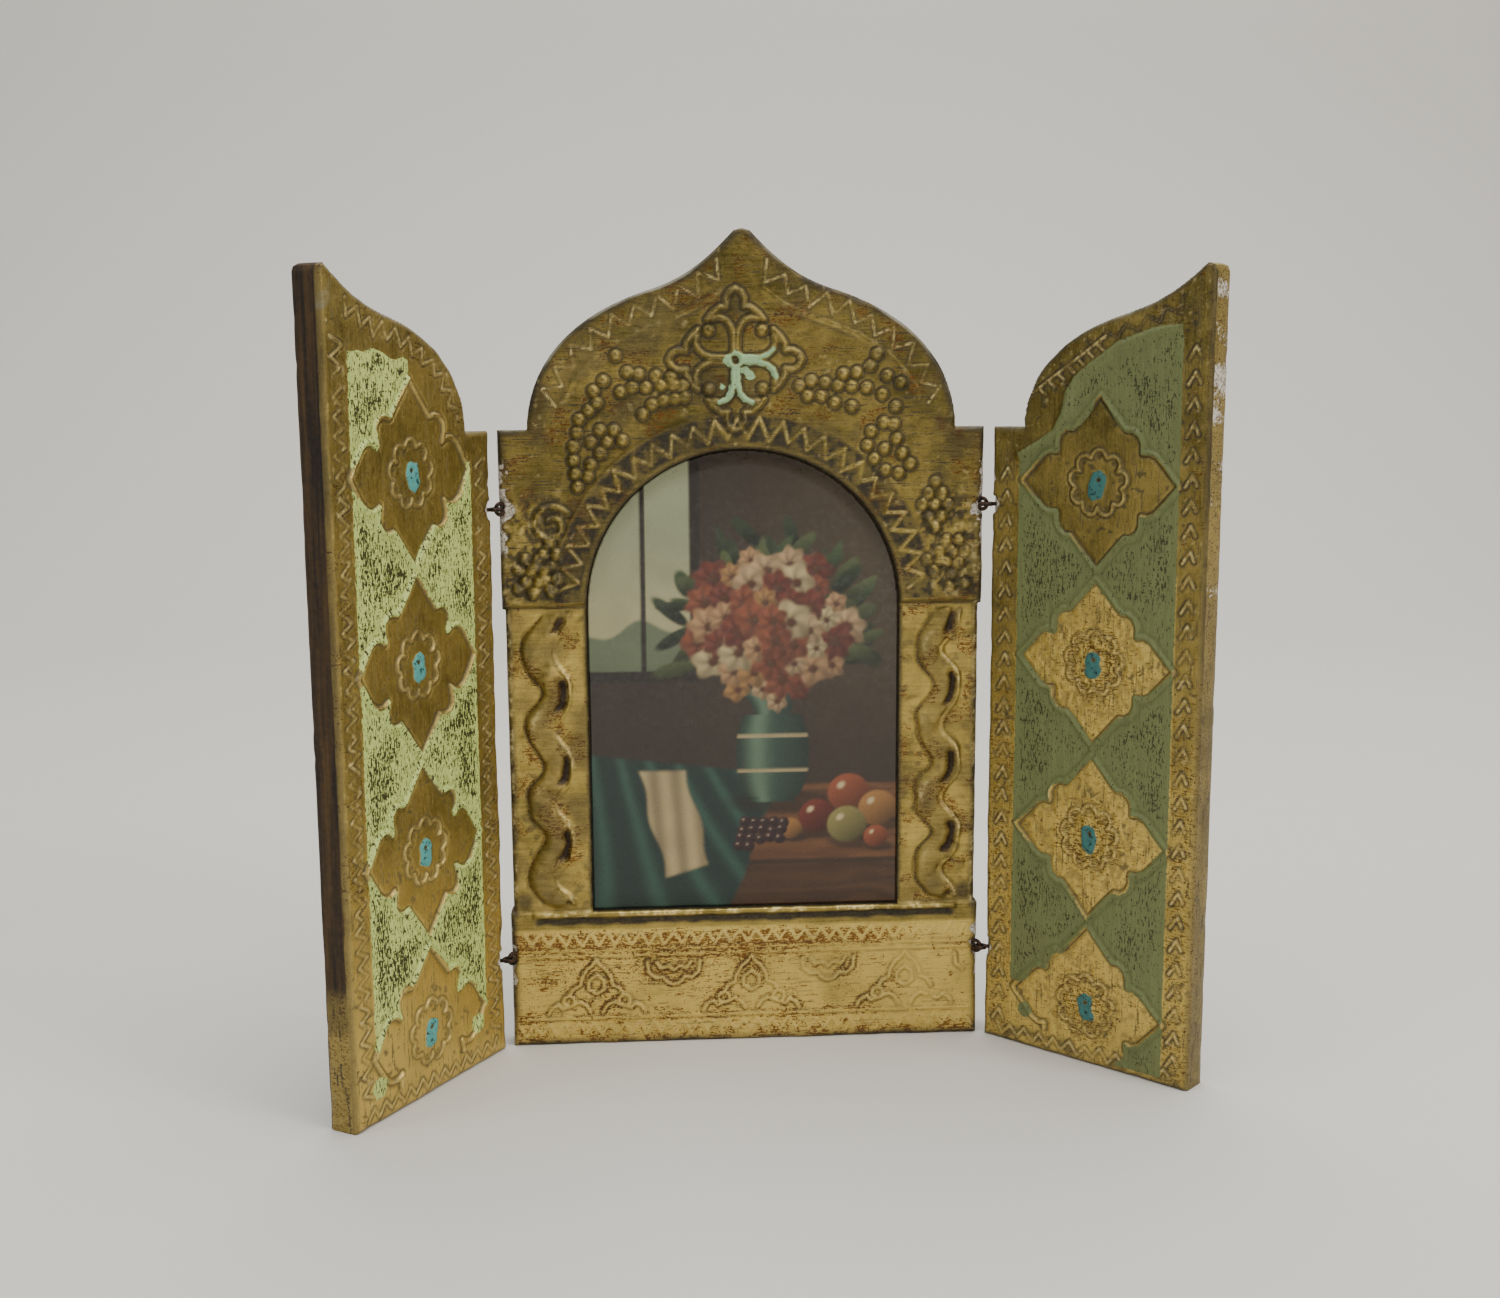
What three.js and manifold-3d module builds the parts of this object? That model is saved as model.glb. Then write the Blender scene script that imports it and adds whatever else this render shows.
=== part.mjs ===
// A small folding triptych altarpiece: an arched centre panel with a framed picture, and two hinged wings.
// Millimetres, +Z up. The origin is on the underside, in the middle of the centre panel's foot. The front faces -Y.
// Each panel is drawn face on, X across, Y up and Z out of its face, and is then stood upright.
import * as THREE from 'three';
import { mergeVertices } from 'three/addons/utils/BufferGeometryUtils.js';
import Module from 'manifold-3d';

const wasm = await Module();
wasm.setup();

// The boards
const boardThickness = 6.3;
const edgeRound = 0.8;
const ledgeHeight = 122;
const centreWidth = 93;
const centreApexHeight = 159.2;
const centreLedgeWidth = 5.7;
const centreNeckHalfWidth = 18;
const centreNeckHeight = 147.8;
const apexHalfWidth = 1.5;
const wingWidth = 45.2;
const wingLedgeWidth = 6.9;
const wingNeckWidth = 27;
const wingNeckHeight = 142.4;
const wingTipHeight = 151;
const tipRound = 1.4;
const curveSteps = 8;

// The opening for the picture, the columns beside it and the sill below it
const archHalfWidth = 30.4;
const archSpringHeight = 87.8;
const archSteps = 20;
const sillTop = 27.3;
const sillDepth = 3.2;
const sillHalfWidth = 42;
const pocketDepth = 1.6;
const columnRecess = 1;
const columnSideInset = 0.6;
const columnRelief = 0.8;
const ribbonWidth = 4.8;
const ribbonSwing = 1.7;
const ribbonWave = 14.6;
const ribbonLead = 5.1;
const ribbonStepsPerWave = 6;
const cardThickness = 0.4;
const cardClearance = 0.3;
const pasteGap = 0.1;

// The raised gesso work
const ribWidth = 0.9;
const ribHeight = 0.5;
const beadRadius = 0.95;
const beadHeight = 0.6;
const beadSides = 5;
const beadPitch = 2.7;
const reliefRoot = 0.6;
const filletInset = 6.5;
const wingFilletInset = 5.4;
const crestX = -1.3;
const crestHeight = 134.9;
const crestHalfWidth = 12.7;
const crestHalfHeight = 13.3;
const scrollPitch = 10.7;
const scrollBeadHeight = 9.2;
const scrollRise = 7.4;
const footLineHeight = 5;
const bandLineHeight = 18.8;

// The diamonds and rosettes of the wings
const diamondOffset = 23.3;
const diamondHalfWidth = 16.6;
const diamondInset = 0.7;
const diamondCount = 4;
const rosetteRadius = 5.2;
const petalCount = 8;
const petalDepth = 0.9;
const dotRadius = 2;
const wingFootBorder = 4;
const leftDiamonds = { top: 132.5, pitch: 34.4 };
const rightDiamonds = { top: 128.8, pitch: 33.5 };

// The linked wire eyes that hinge the wings
const wireRadius = 0.4;
const eyeRadius = 1.05;
const wireSides = 6;
const eyeSteps = 12;
const shankBackWall = 1.4;
const eyeClearance = 0.3;
const axisBesidePanel = 0.5;
const axisBeforeFace = 0.75;
const upperHingeHeight = 107.2;
const lowerHingeHeight = 18.3;
const eyeLean = THREE.MathUtils.degToRad(45);
const leftWingFold = THREE.MathUtils.degToRad(58.6);
const rightWingFold = THREE.MathUtils.degToRad(45.5);

const face = boardThickness / 2;
const centreHalfWidth = centreWidth / 2;
const axisX = centreHalfWidth + axisBesidePanel;
const axisY = -face - axisBeforeFace;
const eyeReach = (boardThickness + axisBeforeFace - shankBackWall) / Math.sin(eyeLean);
const shankLength = eyeReach - 2 * eyeRadius - eyeClearance;

const agedGold = new THREE.MeshStandardMaterial({ color: '#8f6d2c', roughness: 0.45, metalness: 0.7 });
const mintPaint = new THREE.MeshStandardMaterial({ color: '#b9cd8c', roughness: 0.6, metalness: 0.1 });
const sagePaint = new THREE.MeshStandardMaterial({ color: '#6b7a4c', roughness: 0.6, metalness: 0.1 });
const printedCard = new THREE.MeshStandardMaterial({ color: '#2f3a34', roughness: 0.35, metalness: 0 });
const darkIron = new THREE.MeshStandardMaterial({ color: '#2b2622', roughness: 0.6, metalness: 0.8 });

// Solids from geometries, and back again
function solidOf(geometry) {
  geometry.deleteAttribute('normal');
  geometry.deleteAttribute('uv');
  const merged = mergeVertices(geometry, 1e-4);
  const vertProperties = new Float32Array(merged.attributes.position.array);
  const triVerts = new Uint32Array(merged.index.array);
  return new wasm.Manifold(new wasm.Mesh({ numProp: 3, vertProperties, triVerts }));
}

function geometryOf(solid) {
  const mesh = solid.getMesh();
  const geometry = new THREE.BufferGeometry();
  geometry.setAttribute('position', new THREE.BufferAttribute(mesh.vertProperties, 3));
  geometry.setIndex(new THREE.BufferAttribute(mesh.triVerts, 1));
  geometry.computeVertexNormals();
  return geometry;
}

function meshOf(name, solid, material) {
  const mesh = new THREE.Mesh(geometryOf(solid), material);
  mesh.name = name;
  return mesh;
}

function joined(solids) {
  return solids.reduce((whole, solid) => whole.add(solid));
}

function box(x0, x1, y0, y1, z0, z1) {
  const geometry = new THREE.BoxGeometry(x1 - x0, y1 - y0, z1 - z0);
  return solidOf(geometry.translate((x0 + x1) / 2, (y0 + y1) / 2, (z0 + z1) / 2));
}

// A board of the given outline, with its front and back edges rounded over
function board(shape) {
  const geometry = new THREE.ExtrudeGeometry(shape, {
    depth: boardThickness - 2 * edgeRound,
    bevelThickness: edgeRound,
    bevelSize: edgeRound,
    bevelOffset: -edgeRound,
    bevelSegments: 2,
    curveSegments: curveSteps,
  });
  return solidOf(geometry.translate(0, 0, edgeRound - face));
}

// A flat form that stands up from the face and is rooted below it
function raised(shape, height, level = face) {
  const depth = reliefRoot + height;
  const geometry = new THREE.ExtrudeGeometry(shape, { depth, bevelEnabled: false, curveSegments: curveSteps });
  return solidOf(geometry.translate(0, 0, level - reliefRoot));
}

// Points moved sideways along a path, with mitred corners
function moved(points, distance, closed) {
  const count = points.length;
  return points.map((point, i) => {
    const before = points[closed ? (i + count - 1) % count : Math.max(i - 1, 0)];
    const after = points[closed ? (i + 1) % count : Math.min(i + 1, count - 1)];
    const arriving = point.clone().sub(before);
    const leaving = after.clone().sub(point);
    const a = (arriving.length() > 0 ? arriving : leaving).clone().normalize();
    const b = (leaving.length() > 0 ? leaving : arriving).clone().normalize();
    const mitre = new THREE.Vector2(-a.y - b.y, a.x + b.x).divideScalar(Math.max(1 + a.dot(b), 0.7));
    return point.clone().add(mitre.multiplyScalar(distance));
  });
}

function areaOf(points) {
  return Math.abs(THREE.ShapeUtils.area(points));
}

// A raised rib that follows a path
function rib(points, closed, width = ribWidth, height = ribHeight, level = face) {
  const left = moved(points, width / 2, closed);
  const right = moved(points, -width / 2, closed);
  if (!closed) {
    return raised(new THREE.Shape(left.concat(right.reverse())), height, level);
  }
  const [outer, inner] = areaOf(left) > areaOf(right) ? [left, right] : [right, left];
  const shape = new THREE.Shape(THREE.ShapeUtils.isClockWise(outer) ? outer.reverse() : outer);
  shape.holes.push(new THREE.Path(inner));
  return raised(shape, height, level);
}

// A raised bead, domed by a narrower top
function bead(x, y, radius = beadRadius, height = beadHeight) {
  const geometry = new THREE.CylinderGeometry(radius * 0.55, radius * 1.1, reliefRoot + height, beadSides);
  geometry.rotateX(Math.PI / 2);
  return solidOf(geometry.translate(x, y, face + (height - reliefRoot) / 2));
}

// Beads strung along a curve through three places
function spray(from, through, to) {
  const curve = new THREE.CatmullRomCurve3([from, through, to].map((p) => new THREE.Vector3(p.x, p.y, 0)));
  const count = Math.max(Math.round(curve.getLength() / beadPitch), 1);
  return curve.getSpacedPoints(count).map((p) => bead(p.x, p.y));
}

// So many beads in a ring, a pitch apart, round a middle one
function cluster([x, y], count) {
  const radius = count * beadPitch / (2 * Math.PI);
  const ring = Array.from({ length: count }, (_, i) => {
    const angle = 2 * Math.PI * i / count;
    return bead(x + radius * Math.cos(angle), y + radius * Math.sin(angle));
  });
  return [bead(x, y), ...ring];
}

// The rise from a ledge over a shoulder to a neck, and on to a tip, drawn in x and height
function ogee(ledgeX, neckX, neckHeight, tipX, tipHeight) {
  const rise = neckHeight - ledgeHeight;
  const run = neckX - ledgeX;
  const shoulder = new THREE.CubicBezierCurve(
    new THREE.Vector2(ledgeX, ledgeHeight + 0.06 * rise),
    new THREE.Vector2(ledgeX + 0.04 * run, ledgeHeight + 0.46 * rise),
    new THREE.Vector2(ledgeX + 0.34 * run, neckHeight - 0.19 * rise),
    new THREE.Vector2(neckX, neckHeight),
  );
  const sweep = new THREE.CubicBezierCurve(
    new THREE.Vector2(neckX, neckHeight),
    new THREE.Vector2(neckX + 0.45 * (tipX - neckX), neckHeight + 0.2 * (tipHeight - neckHeight)),
    new THREE.Vector2(neckX + 0.68 * (tipX - neckX), neckHeight + 0.5 * (tipHeight - neckHeight)),
    new THREE.Vector2(tipX, tipHeight),
  );
  return [...shoulder.getPoints(curveSteps), ...sweep.getPoints(curveSteps).slice(1)];
}

// The centre panel's outline, from its foot to its apex and down again
function centreOutline() {
  const ledgeX = centreHalfWidth - centreLedgeWidth;
  const half = ogee(ledgeX, centreNeckHalfWidth, centreNeckHeight, apexHalfWidth, centreApexHeight - 0.4);
  const mirrored = half.map((p) => new THREE.Vector2(-p.x, p.y)).reverse();
  return [
    new THREE.Vector2(-centreHalfWidth, 0),
    new THREE.Vector2(centreHalfWidth, 0),
    new THREE.Vector2(centreHalfWidth, ledgeHeight),
    new THREE.Vector2(ledgeX, ledgeHeight),
    ...half,
    new THREE.Vector2(0, centreApexHeight),
    ...mirrored,
    new THREE.Vector2(-ledgeX, ledgeHeight),
    new THREE.Vector2(-centreHalfWidth, ledgeHeight),
  ];
}

// The arched opening, drawn smaller by a clearance for the card that fits it
function archShape(clearance) {
  const radius = archHalfWidth - clearance;
  const shape = new THREE.Shape();
  shape.moveTo(-radius, sillTop + clearance);
  shape.lineTo(radius, sillTop + clearance);
  shape.lineTo(radius, archSpringHeight);
  shape.absarc(0, archSpringHeight, radius, 0, Math.PI, false);
  shape.closePath();
  return shape;
}

function flatPrism(shape, z0, z1) {
  const geometry = new THREE.ExtrudeGeometry(shape, { depth: z1 - z0, bevelEnabled: false, curveSegments: archSteps });
  return solidOf(geometry.translate(0, 0, z0));
}

// The twisted column beside the picture, carved as a waving ribbon
function columnRibbon(side) {
  const low = sillTop + 1;
  const high = archSpringHeight - 0.6;
  const middle = side * (archHalfWidth + centreHalfWidth - columnSideInset) / 2;
  const count = Math.round((high - low) / ribbonWave * ribbonStepsPerWave);
  const path = Array.from({ length: count + 1 }, (_, i) => {
    const height = low + (high - low) * i / count;
    const swing = ribbonSwing * Math.sin(2 * Math.PI * (height + ribbonLead) / ribbonWave);
    return new THREE.Vector2(middle + swing, height);
  });
  return rib(path, false, ribbonWidth, columnRelief, face - columnRecess);
}

// A place in shares of the crest's half sizes, from its middle
function crestPlace(x, y) {
  return new THREE.Vector2(crestX + x * crestHalfWidth, crestHeight + y * crestHalfHeight);
}

// The crest: a pointed quatrefoil round a cross with flared arms
function crest() {
  const foil = [[0, 1], [0.2, 0.84], [0.38, 0.72], [0.44, 0.56], [0.62, 0.52], [0.7, 0.36], [0.86, 0.2]];
  const arm = [[0.3, 0.62], [0.15, 0.56], [0.08, 0.42], [0.07, 0.2],
    [0.2, 0.07], [0.42, 0.08], [0.56, 0.15], [0.62, 0.3]];
  const outline = [0, 1, 2, 3].flatMap((quarter) => foil.map(([x, y]) => {
    const turn = new THREE.Vector2(x, y).rotateAround(new THREE.Vector2(), -quarter * Math.PI / 2);
    return crestPlace(turn.x, turn.y);
  }));
  const parts = [rib(outline, true)];
  for (const sx of [-1, 1]) {
    for (const sy of [-1, 1]) {
      parts.push(rib(arm.map(([x, y]) => crestPlace(sx * x, sy * y)), false));
      const between = crestPlace(sx * 0.42, sy * 0.4);
      parts.push(bead(between.x, between.y));
    }
  }
  parts.push(bead(crestX, crestHeight, beadRadius * 1.3, beadHeight));
  return parts;
}

// A place beside the arch: in shares of the way out to the panel's side, and up to its ledge
function besideArch(side, out, up) {
  const x = archHalfWidth + out * (centreHalfWidth - archHalfWidth);
  return [side * x, archSpringHeight + up * (ledgeHeight - archSpringHeight)];
}

// The strings and bunches of beads in the field round the arch
function beadwork() {
  const strings = [
    [[-1.79, 0.08], [-1.55, -0.19], [-0.95, -0.24]],
    [[-1.71, -0.46], [-1.24, -0.38], [-0.78, -0.35]],
    [[-2.06, -0.34], [-2.42, -1.05], [-2.37, -1.77]],
    [[-1.39, -0.76], [-1.08, -0.59], [-0.75, -0.53]],
    [[0.97, -0.37], [1.56, -0.32], [2.21, -0.52]],
    [[2.13, 0.08], [1.91, -0.14], [1.6, -0.19]],
    [[1.08, -0.53], [1.4, -0.58], [1.74, -0.68]],
  ];
  const crestLeft = crestPlace(-1.94, -1.13);
  const crestRight = crestPlace(2.32, -1.26);
  return [
    ...strings.flatMap((string) => spray(...string.map(([x, y]) => crestPlace(x, y)))),
    ...cluster([crestLeft.x, crestLeft.y], 6),
    ...cluster([crestRight.x, crestRight.y], 9),
    ...cluster(besideArch(-1, 0.4, 0.47), 8),
    ...cluster(besideArch(-1, 0.5, 0.18), 7),
    ...cluster(besideArch(1, 0.42, 0.67), 7),
    ...cluster(besideArch(1, 0.37, 0.4), 8),
    ...cluster(besideArch(1, 0.51, 0.17), 7),
  ];
}

// The foot's band: beads with a pointed arch over each gap between them
function footBand() {
  const halfWidth = centreHalfWidth - 1.8;
  const count = Math.floor(2 * halfWidth / scrollPitch);
  const parts = [footLineHeight, bandLineHeight].map((height) => (
    box(-halfWidth, halfWidth, height - ribWidth / 2, height + ribWidth / 2, face - reliefRoot, face + ribHeight)
  ));
  const arch = [[0.14, 0.05], [0.22, 0.34], [0.36, 0.5], [0.5, 1], [0.64, 0.5], [0.78, 0.34], [0.86, 0.05]];
  for (let i = 0; i <= count; i += 1) {
    const x = (i - count / 2) * scrollPitch;
    parts.push(bead(x, scrollBeadHeight));
    if (i < count) {
      const path = arch.map(([u, v]) => new THREE.Vector2(x + u * scrollPitch, scrollBeadHeight + v * scrollRise));
      parts.push(rib(path, false));
    }
  }
  return parts;
}

// The line that follows the ogee inside its border, up to where it meets the crest
function filletAlong(points, inset, side) {
  const kept = moved(points.map((p) => new THREE.Vector2(side * p.x, p.y)), side * inset, false);
  return rib(kept, false);
}

// How far an eye's shank is turned about the hinge axis, to run back into its panel at that side
function eyeTurn(towards) {
  return towards > 0 ? eyeLean : Math.PI - eyeLean;
}

// The room in a panel's front corner for the eyes, cut round the axis and along the shank
function hingePocket(x, height, towards, slotHeight) {
  const ringRoom = eyeRadius + wireRadius + eyeClearance;
  const wireRoom = wireRadius + eyeClearance;
  const slotLength = 2 * eyeRadius + wireRoom;
  const round = new THREE.CylinderGeometry(ringRoom, ringRoom, 2 * ringRoom, 14).rotateX(Math.PI / 2);
  const slot = new THREE.BoxGeometry(slotLength, 2 * wireRoom, slotHeight).translate(slotLength / 2, 0, 0);
  const drill = new THREE.CylinderGeometry(wireRoom, wireRoom, eyeReach, 10);
  drill.rotateZ(Math.PI / 2).translate(eyeReach / 2, 0, 0);
  const parts = [round, slot, drill].map((geometry) => {
    geometry.rotateZ(eyeTurn(towards)).rotateX(-Math.PI / 2);
    return solidOf(geometry.translate(x, height, face + axisBeforeFace));
  });
  return joined(parts);
}

const ringRoomHeight = 2 * (eyeRadius + wireRadius + eyeClearance);
const shankRoomHeight = 2 * (wireRadius + eyeClearance);

// The centre panel, with its arched pocket, columns, sill, crest and beads
function centrePanel() {
  const outline = centreOutline();
  let panel = board(new THREE.Shape(outline));
  const columnEdge = centreHalfWidth - columnSideInset;
  for (const side of [-1, 1]) {
    const strip = [side * archHalfWidth, side * (centreHalfWidth + 1)].sort((a, b) => a - b);
    panel = panel.subtract(box(...strip, sillTop, archSpringHeight, face - columnRecess, face + 1));
    const rim = [side * columnEdge, side * (centreHalfWidth + 1)].sort((a, b) => a - b);
    panel = panel.subtract(box(...rim, sillTop, archSpringHeight, -face - 1, face + 1));
    panel = panel.add(columnRibbon(side));
  }
  const sill = box(-sillHalfWidth, sillHalfWidth, sillTop - sillDepth, sillTop, face - reliefRoot, face + ribHeight);
  const half = outline.slice(4, 4 + 2 * curveSteps - 2);
  const fillets = [1, -1].map((side) => filletAlong(half, filletInset, side));
  panel = joined([panel, sill, ...fillets, ...crest(), ...beadwork(), ...footBand()]);
  panel = panel.subtract(flatPrism(archShape(0), face - pocketDepth, face + 2));
  for (const side of [-1, 1]) {
    for (const height of [upperHingeHeight, lowerHingeHeight]) {
      panel = panel.subtract(hingePocket(side * axisX, height, -side, ringRoomHeight));
    }
  }
  return panel;
}

// A diamond with two lobes in each side
function diamondPath(x, y, halfWidth, halfHeight) {
  const quarter = [[0, 1], [0.33, 0.58], [0.5, 0.59], [0.61, 0.43], [0.56, 0.31], [0.74, 0.34], [0.92, 0.2]];
  const turned = [
    ...quarter,
    [1, 0],
    ...quarter.slice(1).reverse().map(([u, v]) => [u, -v]),
    [0, -1],
    ...quarter.slice(1).map(([u, v]) => [-u, -v]),
    [-1, 0],
    ...quarter.slice(1).reverse().map(([u, v]) => [-u, v]),
  ];
  return turned.map(([u, v]) => new THREE.Vector2(x + u * halfWidth, y + v * halfHeight));
}

// A rosette's scalloped ring of petals, and the enamel dot in its middle
function rosette(x, y) {
  const ring = Array.from({ length: 2 * petalCount }, (_, i) => {
    const angle = Math.PI * i / petalCount;
    const radius = rosetteRadius + (i % 2 === 0 ? petalDepth : -petalDepth) / 2;
    return new THREE.Vector2(x + radius * Math.sin(angle), y + radius * Math.cos(angle));
  });
  return [rib(ring, true), bead(x, y, dotRadius, ribHeight)];
}

// The outline of a wing, drawn out from its hinge edge
function wingOutline(side) {
  const x = (s) => side * (axisBesidePanel + s);
  const rise = ogee(wingLedgeWidth, wingNeckWidth, wingNeckHeight, wingWidth - tipRound, wingTipHeight);
  return {
    rise: rise.map((p) => new THREE.Vector2(axisBesidePanel + p.x, p.y)),
    shape: new THREE.Shape([
      new THREE.Vector2(x(0), 0),
      new THREE.Vector2(x(wingWidth), 0),
      new THREE.Vector2(x(wingWidth), wingTipHeight - tipRound),
      new THREE.Vector2(x(wingWidth - 0.3 * tipRound), wingTipHeight - 0.3 * tipRound),
      ...rise.map((p) => new THREE.Vector2(x(p.x), p.y)).reverse(),
      new THREE.Vector2(x(wingLedgeWidth), ledgeHeight),
      new THREE.Vector2(x(0), ledgeHeight),
    ]),
  };
}

// A wing, drawn flat open, with its hinge axis at X = 0
function wingPanel(side, diamonds) {
  const { rise, shape } = wingOutline(side);
  const middle = side * (axisBesidePanel + diamondOffset);
  const far = side * (axisBesidePanel + wingWidth);
  const parts = Array.from({ length: diamondCount }, (_, i) => {
    const height = diamonds.top - (i + 0.5) * diamonds.pitch;
    const path = diamondPath(middle, height, diamondHalfWidth, diamonds.pitch / 2 - diamondInset);
    return [rib(path, true), ...rosette(middle, height)];
  }).flat();
  parts.push(filletAlong(rise.slice(1, -2), -wingFilletInset, side));
  const field = [side * axisBesidePanel, far].sort((a, b) => a - b);
  const carving = joined(parts).intersect(
    box(...field, wingFootBorder, wingTipHeight, -face, face + 2 * ribHeight),
  );
  let panel = board(shape).add(carving);
  for (const height of [upperHingeHeight, lowerHingeHeight]) {
    panel = panel.subtract(hingePocket(0, height, side, shankRoomHeight));
  }
  return panel;
}

// An eye bent from wire: a ring round the origin, and a shank that leaves it along X
function wireEye() {
  const ring = solidOf(new THREE.TorusGeometry(eyeRadius, wireRadius, wireSides, eyeSteps));
  const shank = new THREE.CylinderGeometry(wireRadius, wireRadius, shankLength, wireSides);
  shank.rotateZ(Math.PI / 2).translate(eyeRadius + shankLength / 2, 0, 0);
  return ring.add(solidOf(shank));
}

// An eye at a hinge: the panel's own stands upright with its ring round the axis's wire, the wing's lies flat
function placedEye(name, height, towards, upright) {
  const eye = meshOf(name, wireEye(), darkIron);
  eye.rotation.x = upright ? Math.PI / 2 : 0;
  eye.position.x = upright ? eyeRadius : 0;
  const turn = new THREE.Group();
  turn.rotation.z = eyeTurn(towards);
  turn.position.z = height;
  turn.add(eye);
  return turn;
}

function upright(mesh) {
  mesh.rotation.x = Math.PI / 2;
  return mesh;
}

const group = new THREE.Group();
group.add(upright(meshOf('centre_panel', centrePanel(), agedGold)));
const cardBack = face - pocketDepth + pasteGap;
const card = flatPrism(archShape(cardClearance), cardBack, cardBack + cardThickness);
group.add(upright(meshOf('picture', card, printedCard)));

const wings = [
  { name: 'left', side: -1, fold: leftWingFold, diamonds: leftDiamonds, paint: mintPaint },
  { name: 'right', side: 1, fold: -rightWingFold, diamonds: rightDiamonds, paint: sagePaint },
];
const hinges = [['upper', upperHingeHeight], ['lower', lowerHingeHeight]];

for (const { name, side, fold, diamonds, paint } of wings) {
  const axis = new THREE.Group();
  axis.position.set(side * axisX, axisY, 0);
  const turning = new THREE.Group();
  turning.rotation.z = fold;
  const wing = upright(meshOf(`${name}_wing`, wingPanel(side, diamonds), paint));
  wing.position.y = -axisY;
  turning.add(wing);
  for (const [level, height] of hinges) {
    axis.add(placedEye(`${name}_${level}_panel_eye`, height, -side, true));
    turning.add(placedEye(`${name}_${level}_wing_eye`, height, side, false));
  }
  axis.add(turning);
  group.add(axis);
}

export default group;
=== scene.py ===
import functools
import math
import bpy
import numpy as np
from mathutils import Matrix, Vector


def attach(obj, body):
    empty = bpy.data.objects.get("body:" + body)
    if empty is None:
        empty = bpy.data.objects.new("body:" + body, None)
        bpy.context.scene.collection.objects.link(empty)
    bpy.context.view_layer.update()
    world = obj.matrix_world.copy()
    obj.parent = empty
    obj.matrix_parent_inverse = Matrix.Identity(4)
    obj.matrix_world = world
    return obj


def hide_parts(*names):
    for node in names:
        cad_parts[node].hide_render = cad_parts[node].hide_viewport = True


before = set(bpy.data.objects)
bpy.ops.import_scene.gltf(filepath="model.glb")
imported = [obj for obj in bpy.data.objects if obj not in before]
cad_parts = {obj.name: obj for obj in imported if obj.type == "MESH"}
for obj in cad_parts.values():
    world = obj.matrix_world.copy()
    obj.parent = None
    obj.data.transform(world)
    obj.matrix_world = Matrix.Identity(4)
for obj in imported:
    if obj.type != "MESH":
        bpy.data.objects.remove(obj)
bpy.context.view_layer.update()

print("frame loaded")

# Panels are worked out in board millimetres: x across, z up, n out of the face.
board = {
    "face": 3.15,
    "edgeRound": 0.8,
    "ledge": 122.0,
    "axisX": 47.0,
    "axisGap": 0.75,
    "besideAxis": 0.5,
    "hinges": (107.2, 18.3),
    "hingeRoom": 1.75,
}
face = board["face"]

# rings of a board's wall, front to back: how far in, at what n, how worn
boardRings = [(0.02, face - 1.3, 0.12), (0.0, 1.0, 0.12), (0.0, -1.0, 0.12), (0.05, -face + 0.7, 0.15),
              (0.25, -face + 0.2, 0.2), (0.7, -face, 0.1)]
plainRim = {"rise": 0, "paint": -3, "dot": -3, "chip": 0, "bole": 0, "streak": 0, "fleck": 0, "bare": 0,
            "wood": 0}


def linear(code, alpha=1.0):
    parts = [int(code[i:i + 2], 16) / 255 for i in (1, 3, 5)]
    return [c / 12.92 if c <= 0.04045 else ((c + 0.055) / 1.055) ** 2.4 for c in parts] + [alpha]


# points and lines

def bezier(a, b, c, d, steps):
    t = np.linspace(0, 1, steps + 1)[:, None]
    a, b, c, d = (np.array(p, float) for p in (a, b, c, d))
    return (1 - t) ** 3 * a + 3 * t * (1 - t) ** 2 * b + 3 * t * t * (1 - t) * c + t ** 3 * d


def ogee(ledgeX, neckX, neckZ, tipX, tipZ, steps=14):
    rise, run = neckZ - board["ledge"], neckX - ledgeX
    low = board["ledge"]
    shoulder = bezier((ledgeX, low + 0.06 * rise), (ledgeX + 0.04 * run, low + 0.46 * rise),
                      (ledgeX + 0.34 * run, neckZ - 0.19 * rise), (neckX, neckZ), steps)
    sweep = bezier((neckX, neckZ), (neckX + 0.45 * (tipX - neckX), neckZ + 0.2 * (tipZ - neckZ)),
                   (neckX + 0.68 * (tipX - neckX), neckZ + 0.5 * (tipZ - neckZ)), (tipX, tipZ), steps)
    return [tuple(p) for p in np.vstack([shoulder, sweep[1:]])]


def mirrored(path):
    return [(-x, z) for x, z in reversed(path)]


def spaced(path, pitch):
    points = np.array(path, float)
    lengths = np.r_[0, np.cumsum(np.hypot(*np.diff(points, axis=0).T))]
    count = max(int(round(lengths[-1] / pitch)), 1)
    along = np.linspace(0, lengths[-1], count + 1)
    return np.c_[np.interp(along, lengths, points[:, 0]), np.interp(along, lengths, points[:, 1])]


def sideways(path, distance, closed=False):
    points = np.array(path, float)
    if closed:
        ahead, behind = np.roll(points, -1, 0), np.roll(points, 1, 0)
    else:
        ahead, behind = np.vstack([points[1:], points[-1:]]), np.vstack([points[:1], points[:-1]])
    way = ahead - behind
    way /= np.maximum(np.hypot(way[:, 0], way[:, 1]), 1e-9)[:, None]
    return points + np.c_[-way[:, 1], way[:, 0]] * np.reshape(distance, (-1, 1))


def zigzag(path, pitch, width, seed=1):
    random = np.random.default_rng(seed)
    points = spaced(path, pitch / 2)
    swing = np.where(np.arange(len(points)) % 2 == 0, 0.5, -0.5) * width
    swing = swing * random.uniform(0.8, 1.1, len(points))
    moved = sideways(points, swing) + random.normal(0, 0.12, points.shape)
    return [tuple(p) for p in moved]


def smooth(low, high, value):
    t = np.clip((value - low) / (high - low), 0, 1)
    return t * t * (3 - 2 * t)


# fields over a board, on a fine grid

def gridOver(x0, x1, z0, z1, step):
    xs = np.linspace(x0, x1, int(math.ceil((x1 - x0) / step)) + 1)
    zs = np.linspace(z0, z1, int(math.ceil((z1 - z0) / step)) + 1)
    x, z = np.meshgrid(xs, zs)
    return {"xs": xs, "zs": zs, "x": x, "z": z}


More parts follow.
